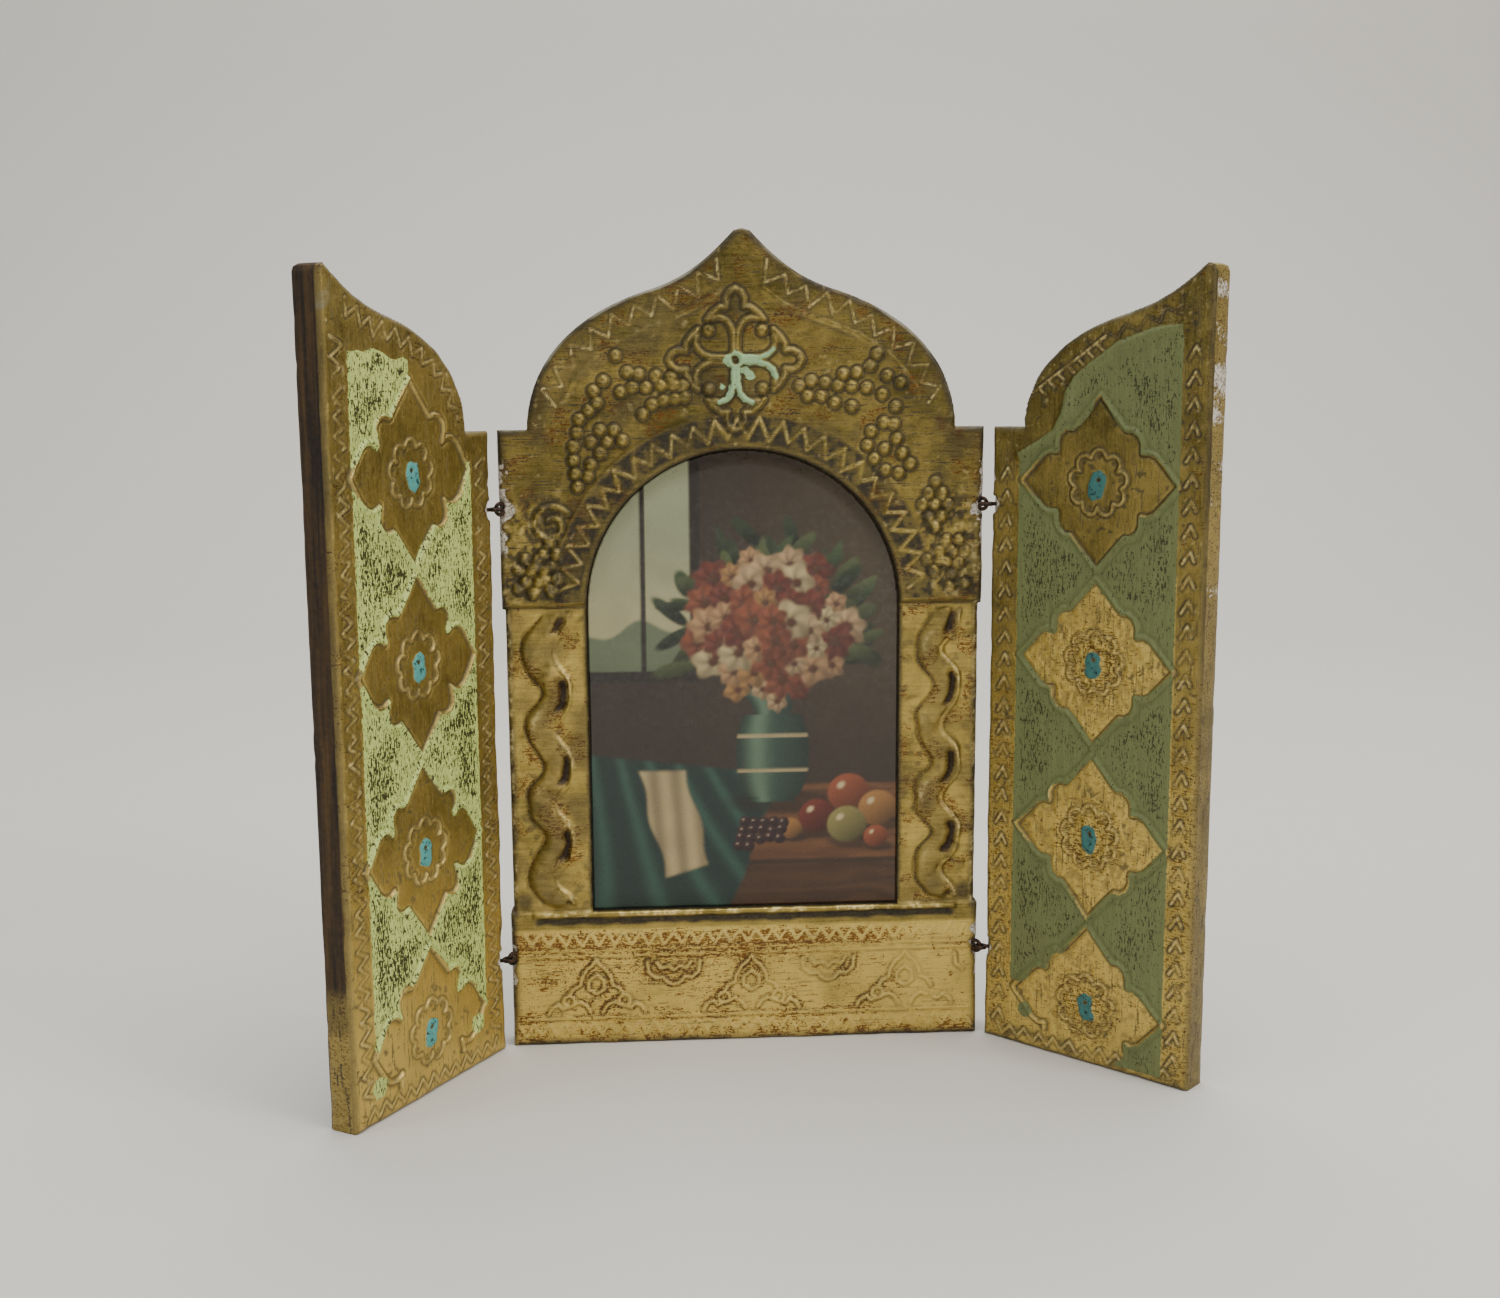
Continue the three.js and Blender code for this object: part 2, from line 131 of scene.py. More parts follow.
def nearLine(grid, path, reach=3.0, closed=False, field=None):
    if field is None:
        field = np.full(grid["x"].shape, reach)
    path = [tuple(p) for p in path]
    for (ax, az), (bx, bz) in zip(path, path[1:] + (path[:1] if closed else [])):
        i0, i1 = np.searchsorted(grid["xs"], [min(ax, bx) - reach, max(ax, bx) + reach])
        j0, j1 = np.searchsorted(grid["zs"], [min(az, bz) - reach, max(az, bz) + reach])
        window = (slice(j0, j1), slice(i0, i1))
        x, z = grid["x"][window] - ax, grid["z"][window] - az
        dx, dz = bx - ax, bz - az
        t = np.clip((x * dx + z * dz) / max(dx * dx + dz * dz, 1e-9), 0, 1)
        field[window] = np.minimum(field[window], np.hypot(x - t * dx, z - t * dz))
    return field


def nearPoints(grid, points, reach=3.0):
    field = np.full(grid["x"].shape, reach)
    for px, pz in points:
        i0, i1 = np.searchsorted(grid["xs"], [px - reach, px + reach])
        j0, j1 = np.searchsorted(grid["zs"], [pz - reach, pz + reach])
        window = (slice(j0, j1), slice(i0, i1))
        field[window] = np.minimum(field[window], np.hypot(grid["x"][window] - px, grid["z"][window] - pz))
    return field


def nearLines(grid, paths, closed=False):
    field = None
    for path in paths:
        field = nearLine(grid, path, closed=closed, field=field)
    return field


def highest(*fields):
    return functools.reduce(np.maximum, fields)


def insideOf(x, z, path):
    inside = np.zeros(np.shape(x), bool)
    path = [tuple(p) for p in path]
    for (ax, az), (bx, bz) in zip(path, path[1:] + path[:1]):
        if az != bz:
            inside ^= ((az > z) != (bz > z)) & (x < ax + (bx - ax) * (z - az) / (bz - az))
    return inside


def signed(grid, path, reach=3.0):
    away = nearLine(grid, path, reach, closed=True)
    return np.where(insideOf(grid["x"], grid["z"], path), away, -away)


def lumps(grid, size, seed, sizeZ=None):
    # smooth noise from about -1 to 1, its lumps a size apart in millimetres: two turned lattices added up
    random = np.random.default_rng(seed)
    total = np.zeros(grid["x"].shape)
    for turn in (random.uniform(0.2, 0.7), random.uniform(0.9, 1.4)) if sizeZ is None else (0.0, 0.0):
        c, s = math.cos(turn), math.sin(turn)
        u = (c * grid["x"] + s * grid["z"]) / size + random.uniform(0, 1)
        v = (c * grid["z"] - s * grid["x"]) / (sizeZ or size) + random.uniform(0, 1)
        u, v = u - u.min(), v - v.min()
        lattice = random.uniform(-1, 1, (int(v.max()) + 3, int(u.max()) + 3))
        i, j = u.astype(int), v.astype(int)
        fu, fv = smooth(0, 1, u - i), smooth(0, 1, v - j)
        total += ((lattice[j, i] * (1 - fu) + lattice[j, i + 1] * fu) * (1 - fv)
                  + (lattice[j + 1, i] * (1 - fu) + lattice[j + 1, i + 1] * fu) * fv)
    return total * 0.75


def ringNoise(count, size, seed):
    random = np.random.default_rng(seed)
    knots = max(count // size, 3)
    values = random.uniform(0, 1, knots)
    t = np.arange(count) * knots / count
    i = t.astype(int)
    f = smooth(0, 1, t - i)
    return values[i % knots] * (1 - f) + values[(i + 1) % knots] * f


# the mesh of a board: a carved front on the grid, walls round its rims, and flat closing faces

def boardMesh(name, grid, outline, hole, height, fields, rims, place, flip):
    xs, zs = grid["xs"], grid["zs"]
    cx, cz = np.meshgrid((xs[:-1] + xs[1:]) / 2, (zs[:-1] + zs[1:]) / 2)
    kept = insideOf(cx, cz, outline)
    if hole is not None:
        kept &= ~insideOf(cx, cz, hole)
    rows, columns = grid["x"].shape
    index = np.arange(rows * columns).reshape(rows, columns)
    quads = np.c_[index[:-1, :-1][kept], index[:-1, 1:][kept], index[1:, 1:][kept], index[1:, :-1][kept]]
    edges = np.vstack([quads[:, [k, (k + 1) % 4]] for k in range(4)])
    forward = edges[:, 0].astype(np.int64) * rows * columns + edges[:, 1]
    backward = edges[:, 1].astype(np.int64) * rows * columns + edges[:, 0]
    rimEdges = edges[~np.isin(forward, backward)]

    # rim points move onto the nearest place of the drawn outline
    x, z, n = grid["x"].ravel().copy(), grid["z"].ravel().copy(), height.ravel().copy()
    rimPoints = np.unique(rimEdges)
    best = np.full(len(rimPoints), 1e9)
    px, pz = x[rimPoints], z[rimPoints]
    sx, sz = px.copy(), pz.copy()
    for path in [outline] + ([hole] if hole is not None else []):
        for (ax, az), (bx, bz) in zip(path, path[1:] + path[:1]):
            dx, dz = bx - ax, bz - az
            t = np.clip(((px - ax) * dx + (pz - az) * dz) / max(dx * dx + dz * dz, 1e-12), 0, 1)
            qx, qz = ax + t * dx, az + t * dz
            away = np.hypot(px - qx, pz - qz)
            nearer = away < best
            best[nearer], sx[nearer], sz[nearer] = away[nearer], qx[nearer], qz[nearer]
    x[rimPoints], z[rimPoints] = sx, sz

    following = {}
    for a, b in rimEdges:
        following.setdefault(int(a), []).append(int(b))
    loops = []
    while following:
        start = next(iter(following))
        loop, at = [], start
        while at in following:
            loop.append(at)
            onward = following[at].pop()
            if not following[at]:
                del following[at]
            at = onward
        loops.append(loop)
    loops = [loop for loop in loops if len(loop) > 40]

    used = np.unique(quads)
    renumber = np.full(rows * columns, -1)
    renumber[used] = np.arange(len(used))
    points = [np.c_[x[used], z[used], n[used]]]
    values = {key: [field.ravel()[used]] for key, field in fields.items()}
    faces = [renumber[quads]]
    total = len(used)
    caps = []
    for loop in loops:
        at = np.array(loop)
        area = 0.5 * np.sum(x[at] * np.roll(z[at], -1) - np.roll(x[at], -1) * z[at])
        rim = rims["outer" if area > 0 else "inner"]
        line = np.c_[x[at], z[at]]
        smoothed = sum(np.roll(line, k, 0) for k in range(-2, 3)) / 5
        way = np.roll(smoothed, -2, 0) - np.roll(smoothed, 2, 0)
        way /= np.maximum(np.hypot(way[:, 0], way[:, 1]), 1e-9)[:, None]
        inward = np.c_[-way[:, 1], way[:, 0]]
        before = renumber[at]
        for k, (inset, level, rough) in enumerate(rim["rings"]):
            wear = ringNoise(len(at), 9, 7 * k + 3) ** 3 + 0.5 * ringNoise(len(at), 31, 5 * k + 1) ** 2
            spot = line + inward * (inset + rough * wear)[:, None]
            points.append(np.c_[spot, np.full(len(at), level)])
            for key, field in fields.items():
                ring = rim["fields"].get(key)
                if ring is None:
                    values[key].append(field.ravel()[at])
                else:
                    given = ring(x[at], z[at], k) if callable(ring) else np.full(len(at), float(ring))
                    values[key].append(given)
            now = total + np.arange(len(at))
            total += len(at)
            faces.append(np.c_[np.roll(before, -1), before, now, np.roll(now, -1)])
            before = now
        caps.append(before[::-1])
    points = np.vstack(points)
    faces = np.vstack(faces)
    if flip:
        faces = faces[:, ::-1]
        caps = [cap[::-1] for cap in caps]

    mesh = bpy.data.meshes.new(name)
    mesh.vertices.add(len(points))
    mesh.vertices.foreach_set("co", (place(points) / 1000).astype(np.float32).ravel())
    corners = np.concatenate([faces.ravel()] + caps).astype(np.int32)
    sizes = np.r_[np.full(len(faces), 4), [len(cap) for cap in caps]].astype(np.int32)
    mesh.loops.add(len(corners))
    mesh.loops.foreach_set("vertex_index", corners)
    mesh.polygons.add(len(sizes))
    mesh.polygons.foreach_set("loop_start", np.r_[0, np.cumsum(sizes)[:-1]].astype(np.int32))
    mesh.polygons.foreach_set("loop_total", sizes)
    mesh.update(calc_edges=True)
    mesh.polygons.foreach_set("use_smooth", np.r_[np.ones(len(faces), bool), np.zeros(len(caps), bool)])
    for key, parts in values.items():
        layer = mesh.attributes.new(key, "FLOAT", "POINT")
        layer.data.foreach_set("value", np.concatenate(parts).astype(np.float32))
    flat = mesh.attributes.new("boardPlace", "FLOAT_VECTOR", "POINT")
    flat.data.foreach_set("vector", points.astype(np.float32).ravel())
    piece = bpy.data.objects.new(name, mesh)
    bpy.context.scene.collection.objects.link(piece)
    print(name, "faces", len(sizes), "rims", len(loops))
    return piece


def centrePlace(points):
    return np.c_[points[:, 0], -points[:, 2], points[:, 1]]


def wingPlace(side, fold):
    c, s = math.cos(fold), math.sin(fold)

    def place(points):
        x = side * (board["besideAxis"] + points[:, 0])
        y = face + board["axisGap"] - points[:, 2]
        return np.c_[side * board["axisX"] + c * x - s * y, -face - board["axisGap"] + s * x + c * y,
                     points[:, 1]]
    return place


def edgeDrop(away, radius):
    return radius - np.sqrt(np.maximum(radius ** 2 - np.clip(radius - away, 0, radius) ** 2, 0))


def ridge(away, width, height=1.0):
    return height * np.exp(-(away / width) ** 2)


def dome(away, radius, height):
    return height * np.sqrt(np.maximum(1 - (away / radius) ** 2, 0))


def hingeNotches(grid, fromHinge, chips):
    # worn pockets in the corner where the wire eyes lie, with the gesso broken round them
    drop = np.zeros(grid["x"].shape)
    chip = np.zeros(grid["x"].shape)
    ragged = lumps(grid, 0.9, 41) * 0.35 + lumps(grid, 2.2, 43) * 0.5
    for z0, size in zip(board["hinges"], chips):
        up = np.abs(grid["z"] - z0)
        reach = np.sqrt(np.maximum(board["hingeRoom"] ** 2 - (fromHinge + 0.5) ** 2, 0))
        notch = np.maximum(reach - board["axisGap"], 0) * smooth(2.0, 1.5, up + 0.4 * ragged)
        drop = np.maximum(drop, notch)
        knock = smooth(1.15, 0.7, np.hypot(up / size, fromHinge / (0.5 * size)) + 0.9 * ragged)
        strip = smooth(1.3, 0.3, fromHinge + 1.6 * ragged) * smooth(3.2 * size, 1.2 * size, up)
        chip = np.maximum(chip, np.maximum(knock, 0.8 * strip))
    return drop, chip


# the centre panel

centre = {
    "halfWidth": 46.5,
    "ledgeX": 40.8,
    "neck": (18.0, 147.8),
    "apex": (1.5, 158.8, 159.2),
    "archHalf": 30.4,
    "spring": 87.8,
    "sillTop": 27.3,
    "sillBottom": 24.1,
    "sillHalf": 42.0,
    "columnEdge": 45.9,
    "recess": 1.0,
    "ribbon": {"middle": 38.15, "swing": 1.7, "wave": 14.6, "lead": 5.1, "half": 2.4, "rise": 0.8},
    "pocket": 1.6,
    "step": 0.31,
    "crest": (-1.3, 134.9, 12.7, 13.3),
    "rules": (5.4, 18.3, 19.5),
    "swirl": (-36.8, 104, 3.9, 1.2),
    "knob": (39.9, 123.6),
    # pitch and width of the punched zigzags
    "edgeMarks": (4.5, 3.4),
    "archMarks": (4.1, 3.7),
    "bandMarks": (3.3, 2.6),
    "footMarks": (3.0, 2.6),
    # size of the broken gesso at the upper and the lower hinge
    "chips": (4.2, 2.8),
}

crestLobe = [(0.42, 0.56), (0.34, 0.66), (0.22, 0.74), (0.13, 0.74), (0.14, 0.86), (0.09, 0.95), (0, 1.0)]
crestArm = [(0.03, 0.12), (0.035, 0.36), (0.07, 0.47), (0.14, 0.56), (0.24, 0.6), (0.33, 0.58)]


def centreOutline():
    half = ogee(centre["ledgeX"], *centre["neck"], *centre["apex"][:2])
    w, edge = centre["halfWidth"], centre["columnEdge"]
    right = [(w, 0), (w, centre["sillTop"]), (edge, centre["sillTop"]), (edge, centre["spring"]),
             (w, centre["spring"]), (w, board["ledge"]), (centre["ledgeX"], board["ledge"])] + half
    return right + [(0, centre["apex"][2])] + mirrored(right), half


def archPath(inset=0.0):
    r = centre["archHalf"] - inset
    bend = [(r * math.cos(a), centre["spring"] + r * math.sin(a)) for a in np.linspace(0, math.pi, 61)]
    return [(-r, centre["sillTop"] + inset), (r, centre["sillTop"] + inset)] + bend


def crestSpot(x, z):
    cx, cz, w, h = centre["crest"]
    return cx + x * w, cz + z * h


def crestLines():
    # four lobes with a rounded point, and a cross whose arms part at their ends
    lobes, arms = [], []
    for quarter in range(4):
        c, s = ((1, 0), (0, 1), (-1, 0), (0, -1))[quarter]
        lobe = crestLobe + [(-u, v) for u, v in crestLobe[-2::-1]]
        lobes.append([crestSpot(c * u + s * v, c * v - s * u) for u, v in lobe])
        for flip in (1, -1):
            arms.append([crestSpot(c * flip * u + s * v, c * v - s * flip * u) for u, v in crestArm])
    return lobes, arms


beadsLeft = [(-23.9, 135.8), (-21.8, 132.7), (-19.6, 132.3), (-16.4, 132), (-13.5, 131.7), (-23.1, 128.9),
             (-20.9, 129.8), (-18.3, 129.8), (-15.5, 130.1), (-13.2, 130.2), (-11.3, 130.2), (-28.2, 129.2),
             (-26.3, 131.1), (-27.6, 127), (-29.2, 125.5), (-31, 123.9), (-31.5, 121.4), (-32.2, 118.8),
             (-32.3, 116.2), (-32, 113.7), (-31.6, 111.2), (-19, 124.8), (-17.2, 126.6), (-15, 127.3),
             (-12.9, 127.6), (-11, 127.9), (-27.1, 121.9), (-24.5, 121.9), (-28.9, 119.6), (-25.8, 119.6),
             (-22.9, 119.9), (-27.2, 117.6), (-29.6, 113.2), (-29, 115.4)]
beadsRight = [(10.8, 129.9), (13.1, 130.9), (15.7, 130.5), (18.2, 129.9), (20.8, 129.8), (23.7, 129.5),
              (26.7, 128.2), (25.6, 135.8), (24.4, 133.6), (21.8, 132.4), (19.2, 132.1), (12.4, 128),
              (15, 128), (17.6, 126.7), (20.8, 126), (30.2, 130.4), (27.6, 131.7), (27, 122.9),
              (24.6, 121.2), (23.9, 118.6), (25.2, 116), (27.4, 113.8), (30, 113.2), (32.2, 115),
              (29.5, 119.8), (27.2, 117.9), (30.6, 117), (29.3, 125.9), (29, 122.6)]


def grapes(x, z, rows, pitch=2.5):
    return [(x + (i - (count - 1) / 2) * pitch, z - row * 0.88 * pitch)
            for row, count in enumerate(rows) for i in range(count)]


def spandrelBeads():
    spots = []
    for side in (-1, 1):
        spots += grapes(side * 37.2, 111.5 if side > 0 else 100.5, (1, 2, 3, 2, 1))
        spots += grapes(side * 40.6, 100.2 if side > 0 else 97.5, (2, 3, 2, 1))
        spots += grapes(side * 36.9, 96.4 if side > 0 else 93.4, (2, 1))
        spots += [(side * 43.2, 91.8), (side * 40.2, 91.2)]
    return spots


def footScrolls():
    # pairs of rings with a pointed arch between them, leaf curls outside, and a hanging cup between the pairs
    lines, rings = [], []
    arch = [(-5.4, 10.2), (-4.6, 11.6), (-3.2, 12.2), (-2.9, 13.8), (-1.8, 15.6), (-0.9, 16.2), (0, 17.6)]
    tongue = [(-1.6, 11.4), (-1.5, 13.2), (0, 14.4), (1.5, 13.2), (1.6, 11.4), (0, 10.4), (-1.6, 11.4)]
    tail = [(-5.9, 7.8), (-6.8, 7.4), (-7.6, 8.4), (-9.0, 7.6), (-9.6, 6.4)]
    spur = [(-4.6, 8.2), (-3.4, 8.8), (-2.0, 8.0), (-1.2, 6.6)]
    cup = [(-5.2, 16.8), (-5.0, 14.6), (-3.6, 13.4), (-2.2, 13.6), (-1.2, 12.4), (0, 12.0)]
    inner = [(-3.4, 16.6), (-2.6, 15.4), (-1.0, 15.8), (0, 14.9)]
    for k in (-1, 0, 1):
        x0 = -29.65 + 30.9 * (k + 1) - 0.3
        for side in (-1, 1):
            rings.append((x0 + side * 5.5, 9.0))
            for path in (arch, tail, spur):
                lines.append([(x0 - side * u, v) for u, v in path])
        lines.append([(x0 + u, v) for u, v in tongue])
        for side in (-1, 1):
            for path in (cup, inner):
                lines.append([(x0 + 15.4 - side * u, v) for u, v in path])
    # what would run off the board is left out
    kept = [[p for p in path if abs(p[0]) < 44.6] for path in lines]
    return [path for path in kept if len(path) > 1], rings[:5]


def makeCentre():
    outline, half = centreOutline()
    hole = archPath()
    w, arch, spring = centre["halfWidth"], centre["archHalf"], centre["spring"]
    grid = gridOver(-w, w, 0, centre["apex"][2], centre["step"])
    x, z = grid["x"], grid["z"]
    ax = np.abs(x)
    noise = functools.partial(lumps, grid)
    rim = nearLine(grid, outline, 4.0, closed=True)
    opening = nearLine(grid, hole, 5.0, closed=True)
    fromArch = np.maximum(np.hypot(x, np.maximum(z - spring, 0)) - arch, 0)

    height = face + 0.10 * noise(7.0, 11) + 0.05 * noise(2.1, 12) + 0.02 * noise(0.8, 13)
    header = smooth(87.9, 88.7, z + 0.25 * noise(3.0, 14))
    inColumn = (1 - header) * smooth(27.0, 27.6, z) * smooth(30.2, 30.5, ax)
    height -= centre["recess"] * inColumn

    # the twisted columns: a rounded strand in a waving bed, the bed's right rim standing up bright
    ribbon = centre["ribbon"]
    phase = 2 * math.pi * (z + ribbon["lead"]) / ribbon["wave"] + 0.5 * noise(9.0, 48)
    middle = np.sign(x) * ribbon["middle"] + ribbon["swing"] * np.sin(phase) + 0.55 * noise(4.0, 24)
    slope = ribbon["swing"] * 2 * math.pi / ribbon["wave"] * np.cos(phase)
    across = (x - middle) / np.sqrt(1 + slope ** 2)
    inRibbon = inColumn * smooth(28.0, 29.4, z) * smooth(87.6, 85.0, z)
    strand = np.sqrt(np.maximum(1 - (np.abs(across + 0.3) / ribbon["half"]) ** 2.4, 0))
    twist = ridge(across - 1.35 + 0.3 * noise(1.4, 38), 0.8) * smooth(-0.1, 0.7, np.sin(phase + 0.35))
    lit = smooth(0.5, -0.7, np.cos(phase + 0.25))
    leftLine = ridge(across + 2.75, 0.36)
    swell = 1.15 * ribbon["rise"] + 0.35 * noise(2.4, 49)
    height += (swell * strand - 1.35 * twist - 0.4 * leftLine) * inRibbon
    height += 0.9 * ridge(across - 2.55, 0.42) * (0.5 + 0.5 * lit) * inRibbon
    pitted = noise(1.0, 25)
    height += (0.26 * noise(2.6, 15) + 0.1 * pitted) * inColumn

    # the sill: a ledge with its worn top edge lit and its dark face below
    sillBottom, sillHalf = centre["sillBottom"], centre["sillHalf"]
    inSill = smooth(sillBottom - 0.2, sillBottom + 0.3, z) * smooth(27.6, 27.2, z)
    inSill *= smooth(sillHalf + 0.4, sillHalf - 0.4, ax)
    sillUp = np.clip((z - sillBottom) / 3.2, 0, 1)
    height += inSill * (0.45 * smooth(0.55, 0.85, sillUp) + 0.1 * noise(1.7, 16) * sillUp)
    underSill = np.exp(-np.abs((z - 25.5 - 0.22 * noise(2.4, 26)) / 0.75) ** 6) * smooth(42.5, 40.5, ax)
    height -= 0.45 * underSill

    # raised lines and beads
    lobes, arms = crestLines()
    crestRing = np.abs(nearPoints(grid, [crestSpot(0, 0)]) - 1.25)
    cx, cz, wide, tight = centre["swirl"]
    swirl = [(cx + r * math.cos(a), cz + r * math.sin(a))
             for a, r in zip(np.linspace(0.6, 8.5, 30), np.linspace(wide, tight, 30))]
    lines = np.minimum(nearLines(grid, lobes + arms + [swirl]), crestRing)
    scrolls, rings = footScrolls()
    footLines = np.minimum(np.abs(nearPoints(grid, rings) - 1.1), nearLines(grid, scrolls))
    rules = nearLines(grid, [[(-44.6, level), (44.6, level)] for level in centre["rules"]])
    fillet = sideways(half[3:-6], 6.3).tolist()
    fillets = nearLines(grid, [[(flip * fx, fz) for fx, fz in fillet] for flip in (1, -1)])
    beads = beadsLeft + beadsRight + spandrelBeads()
    beads += [crestSpot(sx * 0.4, sz * 0.41) for sx in (-1, 1) for sz in (-1, 1)]
    beads = [p for p in beads if np.hypot(p[0], max(p[1] - spring, 0)) > arch + 5.6 or p[1] > 123]
    beadAway = nearPoints(grid, beads, 2.5)
    lines = np.where(beadAway < 1.2, 3.0, lines)

    # punched zigzags
    outer = sideways(half[2:-4], 3.1).tolist()
    strokes = nearLines(grid, [[(flip * px, pz) for px, pz in zigzag(outer, *centre["edgeMarks"], 5 + flip)]
                               for flip in (1, -1)])
    r = arch + 3.7
    band = [(r * math.cos(a), spring + r * math.sin(a)) for a in np.linspace(0.1, math.pi - 0.1, 80)]
    archStrokes = nearLine(grid, zigzag(band, *centre["archMarks"], 9))
    footStrokes = nearLines(grid, [zigzag([(-44.0, 21.8), (44.5, 21.8)], *centre["bandMarks"], 10),
                                   zigzag([(-45.5, 3.2), (45.5, 3.2)], *centre["footMarks"], 11)])
    archLine = np.abs(fromArch - 6.6) + 3.0 * (z < 100)

    # the relief, and where it has worn down
    worn = smooth(-0.55, 0.35, noise(4.0, 17))
    broken = smooth(-0.35, 0.25, noise(1.5, 28) + 0.4 * noise(0.6, 29))
    footWear = 0.35 + 0.65 * smooth(1.15, -0.15, noise(9.0, 18) + (x - 4) / 38)
    jumble = smooth(88.6, 90, z) * smooth(114, 106, z) * smooth(33.4, 34.6, ax) * smooth(5.2, 6.6, fromArch)
    jumbled = noise(1.5, 33) + 0.7 * noise(0.75, 34)
    glints = smooth(0.85, 1.25, noise(0.8, 55) + 0.35 * noise(4.0, 52))
    relief = ridge(lines, 0.38, 0.62) * (0.75 + 0.25 * worn) + dome(beadAway, 1.12, 0.68) * (0.8 + 0.2 * worn)
    relief += (ridge(footLines, 0.33, 0.36) * (0.3 + 0.7 * footWear) + ridge(rules, 0.26, 0.22)
               + ridge(fillets, 0.5, 0.24))
    relief += (ridge(strokes, 0.2, 0.16) * (0.3 + 0.7 * broken)
               + ridge(archStrokes, 0.26, 0.34) * (0.5 + 0.5 * broken))
    relief += ridge(footStrokes, 0.24, 0.2) * (0.4 + 0.6 * footWear) + ridge(archLine, 0.35, 0.2)
    grooves = (ridge(lines - 0.8, 0.28, 0.24) + ridge(beadAway - 1.35, 0.28, 0.26)
               + ridge(strokes - 0.45, 0.2, 0.1))
    grooves += ridge(footLines - 0.65, 0.26, 0.14) * footWear + ridge(archStrokes - 0.55, 0.24, 0.14)
    relief += 0.2 * jumbled * jumble
    relief += header * (0.06 * glints + 0.035 * noise(0.7, 53))
    offColumn = 1 - inColumn
    height += (relief - grooves) * offColumn * (1 - inSill)

    # edges, hinge pockets, chips and the knob on the right ledge
    roundness = board["edgeRound"] * (1.05 + 0.4 * noise(3.0, 19))
    height -= edgeDrop(rim, np.clip(roundness, 0.45, 1.3))
    height -= edgeDrop(opening, 0.5) * np.where(z > centre["sillTop"] + 0.6, 1.0, 0.4)
    notch, chip = hingeNotches(grid, w - ax, centre["chips"])
    height -= notch + 0.22 * chip
    height += dome(nearPoints(grid, [centre["knob"]], 2.0), 1.0, 0.5)
    height = np.where(rim < 1e-6, np.minimum(height, face - 0.55), height)

    # how bright the leaf is: tone that varies at random, with painted light over it; the foot band is painted
    # lighter as light reflected from the floor below, and the header and top are painted darker
    inFoot = smooth(24.2, 23.4, z)
    bright = 0.18 + 0.14 * noise(9.0, 20) + 0.8 * inFoot + 0.26 * inColumn + 0.1 * inSill
    bright += 0.1 * jumble - 0.12 * smooth(140, 152, z) - 0.07 * header
    bright -= 0.25 * inFoot * smooth(-0.2, 0.6, noise(12.0, 27) + 0.3 * smooth(42, 46, ax))

    # the glaze that stays in the hollows, with painted shade round the picture's opening and under the sill
    inBand = smooth(3.4, 2.2, np.abs(fromArch - 3.7)) * (z > 89) * offColumn
    dark = highest(
        np.clip(0.9 * smooth(1.9, 0.4, rim) * (0.6 + 0.4 * worn)
                # painted shadow: dark round the picture's opening, where the picture lies recessed
                + 0.85 * smooth(1.1, 0.1, opening) * (z > 28), 0, 1),
        # painted shade on the sill's face below its lit top edge
        1.4 * underSill * (0.8 + 0.2 * broken),
        header * 0.5 * smooth(0.1, 0.9, noise(5.5, 56) + 0.4 * noise(1.4, 57)),
        inRibbon * np.clip(1.2 * twist + 0.8 * leftLine * (0.5 + 0.5 * worn), 0, 1),
        inRibbon * (0.42 + 0.2 * noise(3.0, 35)) * strand,
        inColumn * 0.5 * smooth(0.5, 1.1, pitted + 0.6 * noise(4.0, 37)),
        inColumn * 0.5 * smooth(-0.1, 0.8, noise(5.0, 45)) * np.where(x < 0, 1.0, 0.6),
        inColumn * 0.45 * smooth(0.55, 0.95, noise(1.8, 46)),
        inColumn * 0.8 * smooth(2.0, 0.5, np.hypot((ax - 43.6) / 1.4, (z - 29.4) / 1.6)),
        jumble * 0.9 * smooth(0.0, -0.5, jumbled),
        0.5 * inColumn * smooth(1.2, 0.2, z - 27.3) + 0.85 * ridge(z - 88.0, 0.42) * (ax > 30.4),
        ridge(lines - 0.85, 0.3) * offColumn,
        ridge(beadAway - 1.4, 0.28) * offColumn,
        0.75 * ridge(strokes - 0.42, 0.26) * offColumn * (0.4 + 0.6 * broken),
        inBand * (0.55 + 0.45 * broken) * smooth(0.25, 0.6, archStrokes),
        0.6 * ridge(fillets - 0.8, 0.35) * offColumn * worn,
        0.8 * ridge(footLines - 0.58, 0.22) * inFoot * footWear * (0.5 + 0.5 * broken),
        0.45 * ridge(rules - 0.5, 0.2) * inFoot * broken,
        0.7 * smooth(1.3, 0.5, z) * (0.5 + 0.5 * broken))

    # ridges rubbed bright, with painted highlights on the crests of lines and beads, the header's glints, the
    # column rims and strands, and the sill's top edge
    rise = offColumn * highest(
        np.clip(0.3 * ridge(lines, 0.28) + 0.22 * smooth(1.0, 0.3, beadAway), 0, 1) * (0.4 + 0.6 * worn),
        0.85 * ridge(strokes, 0.18) * (0.3 + 0.7 * broken),
        # painted highlights: glints scattered over the header
        header * 0.3 * glints,
        0.6 * ridge(archStrokes, 0.2) * (0.3 + 0.7 * broken),
        0.22 * ridge(fillets, 0.4) * broken,
        0.4 * jumble * smooth(0.35, 0.9, jumbled))
    rise = highest(
        rise,
        0.4 * ridge(np.minimum(footLines, footStrokes), 0.22) * (0.3 + 0.7 * footWear) * inFoot,
        inRibbon * ridge(across - 2.5, 0.42) * lit,
        0.6 * inColumn * smooth(0.6, 0.25, np.abs(ax - 45.4)) * broken,
        0.5 * inRibbon * ridge(across + 1.4, 0.5) * smooth(0.3, 0.9, np.sin(phase + 2.4)) * worn,
        # painted highlight along the sill's top edge
        inSill * smooth(0.7, 0.78, sillUp) * smooth(-0.2, 0.35, pitted) * smooth(41, 38, ax))

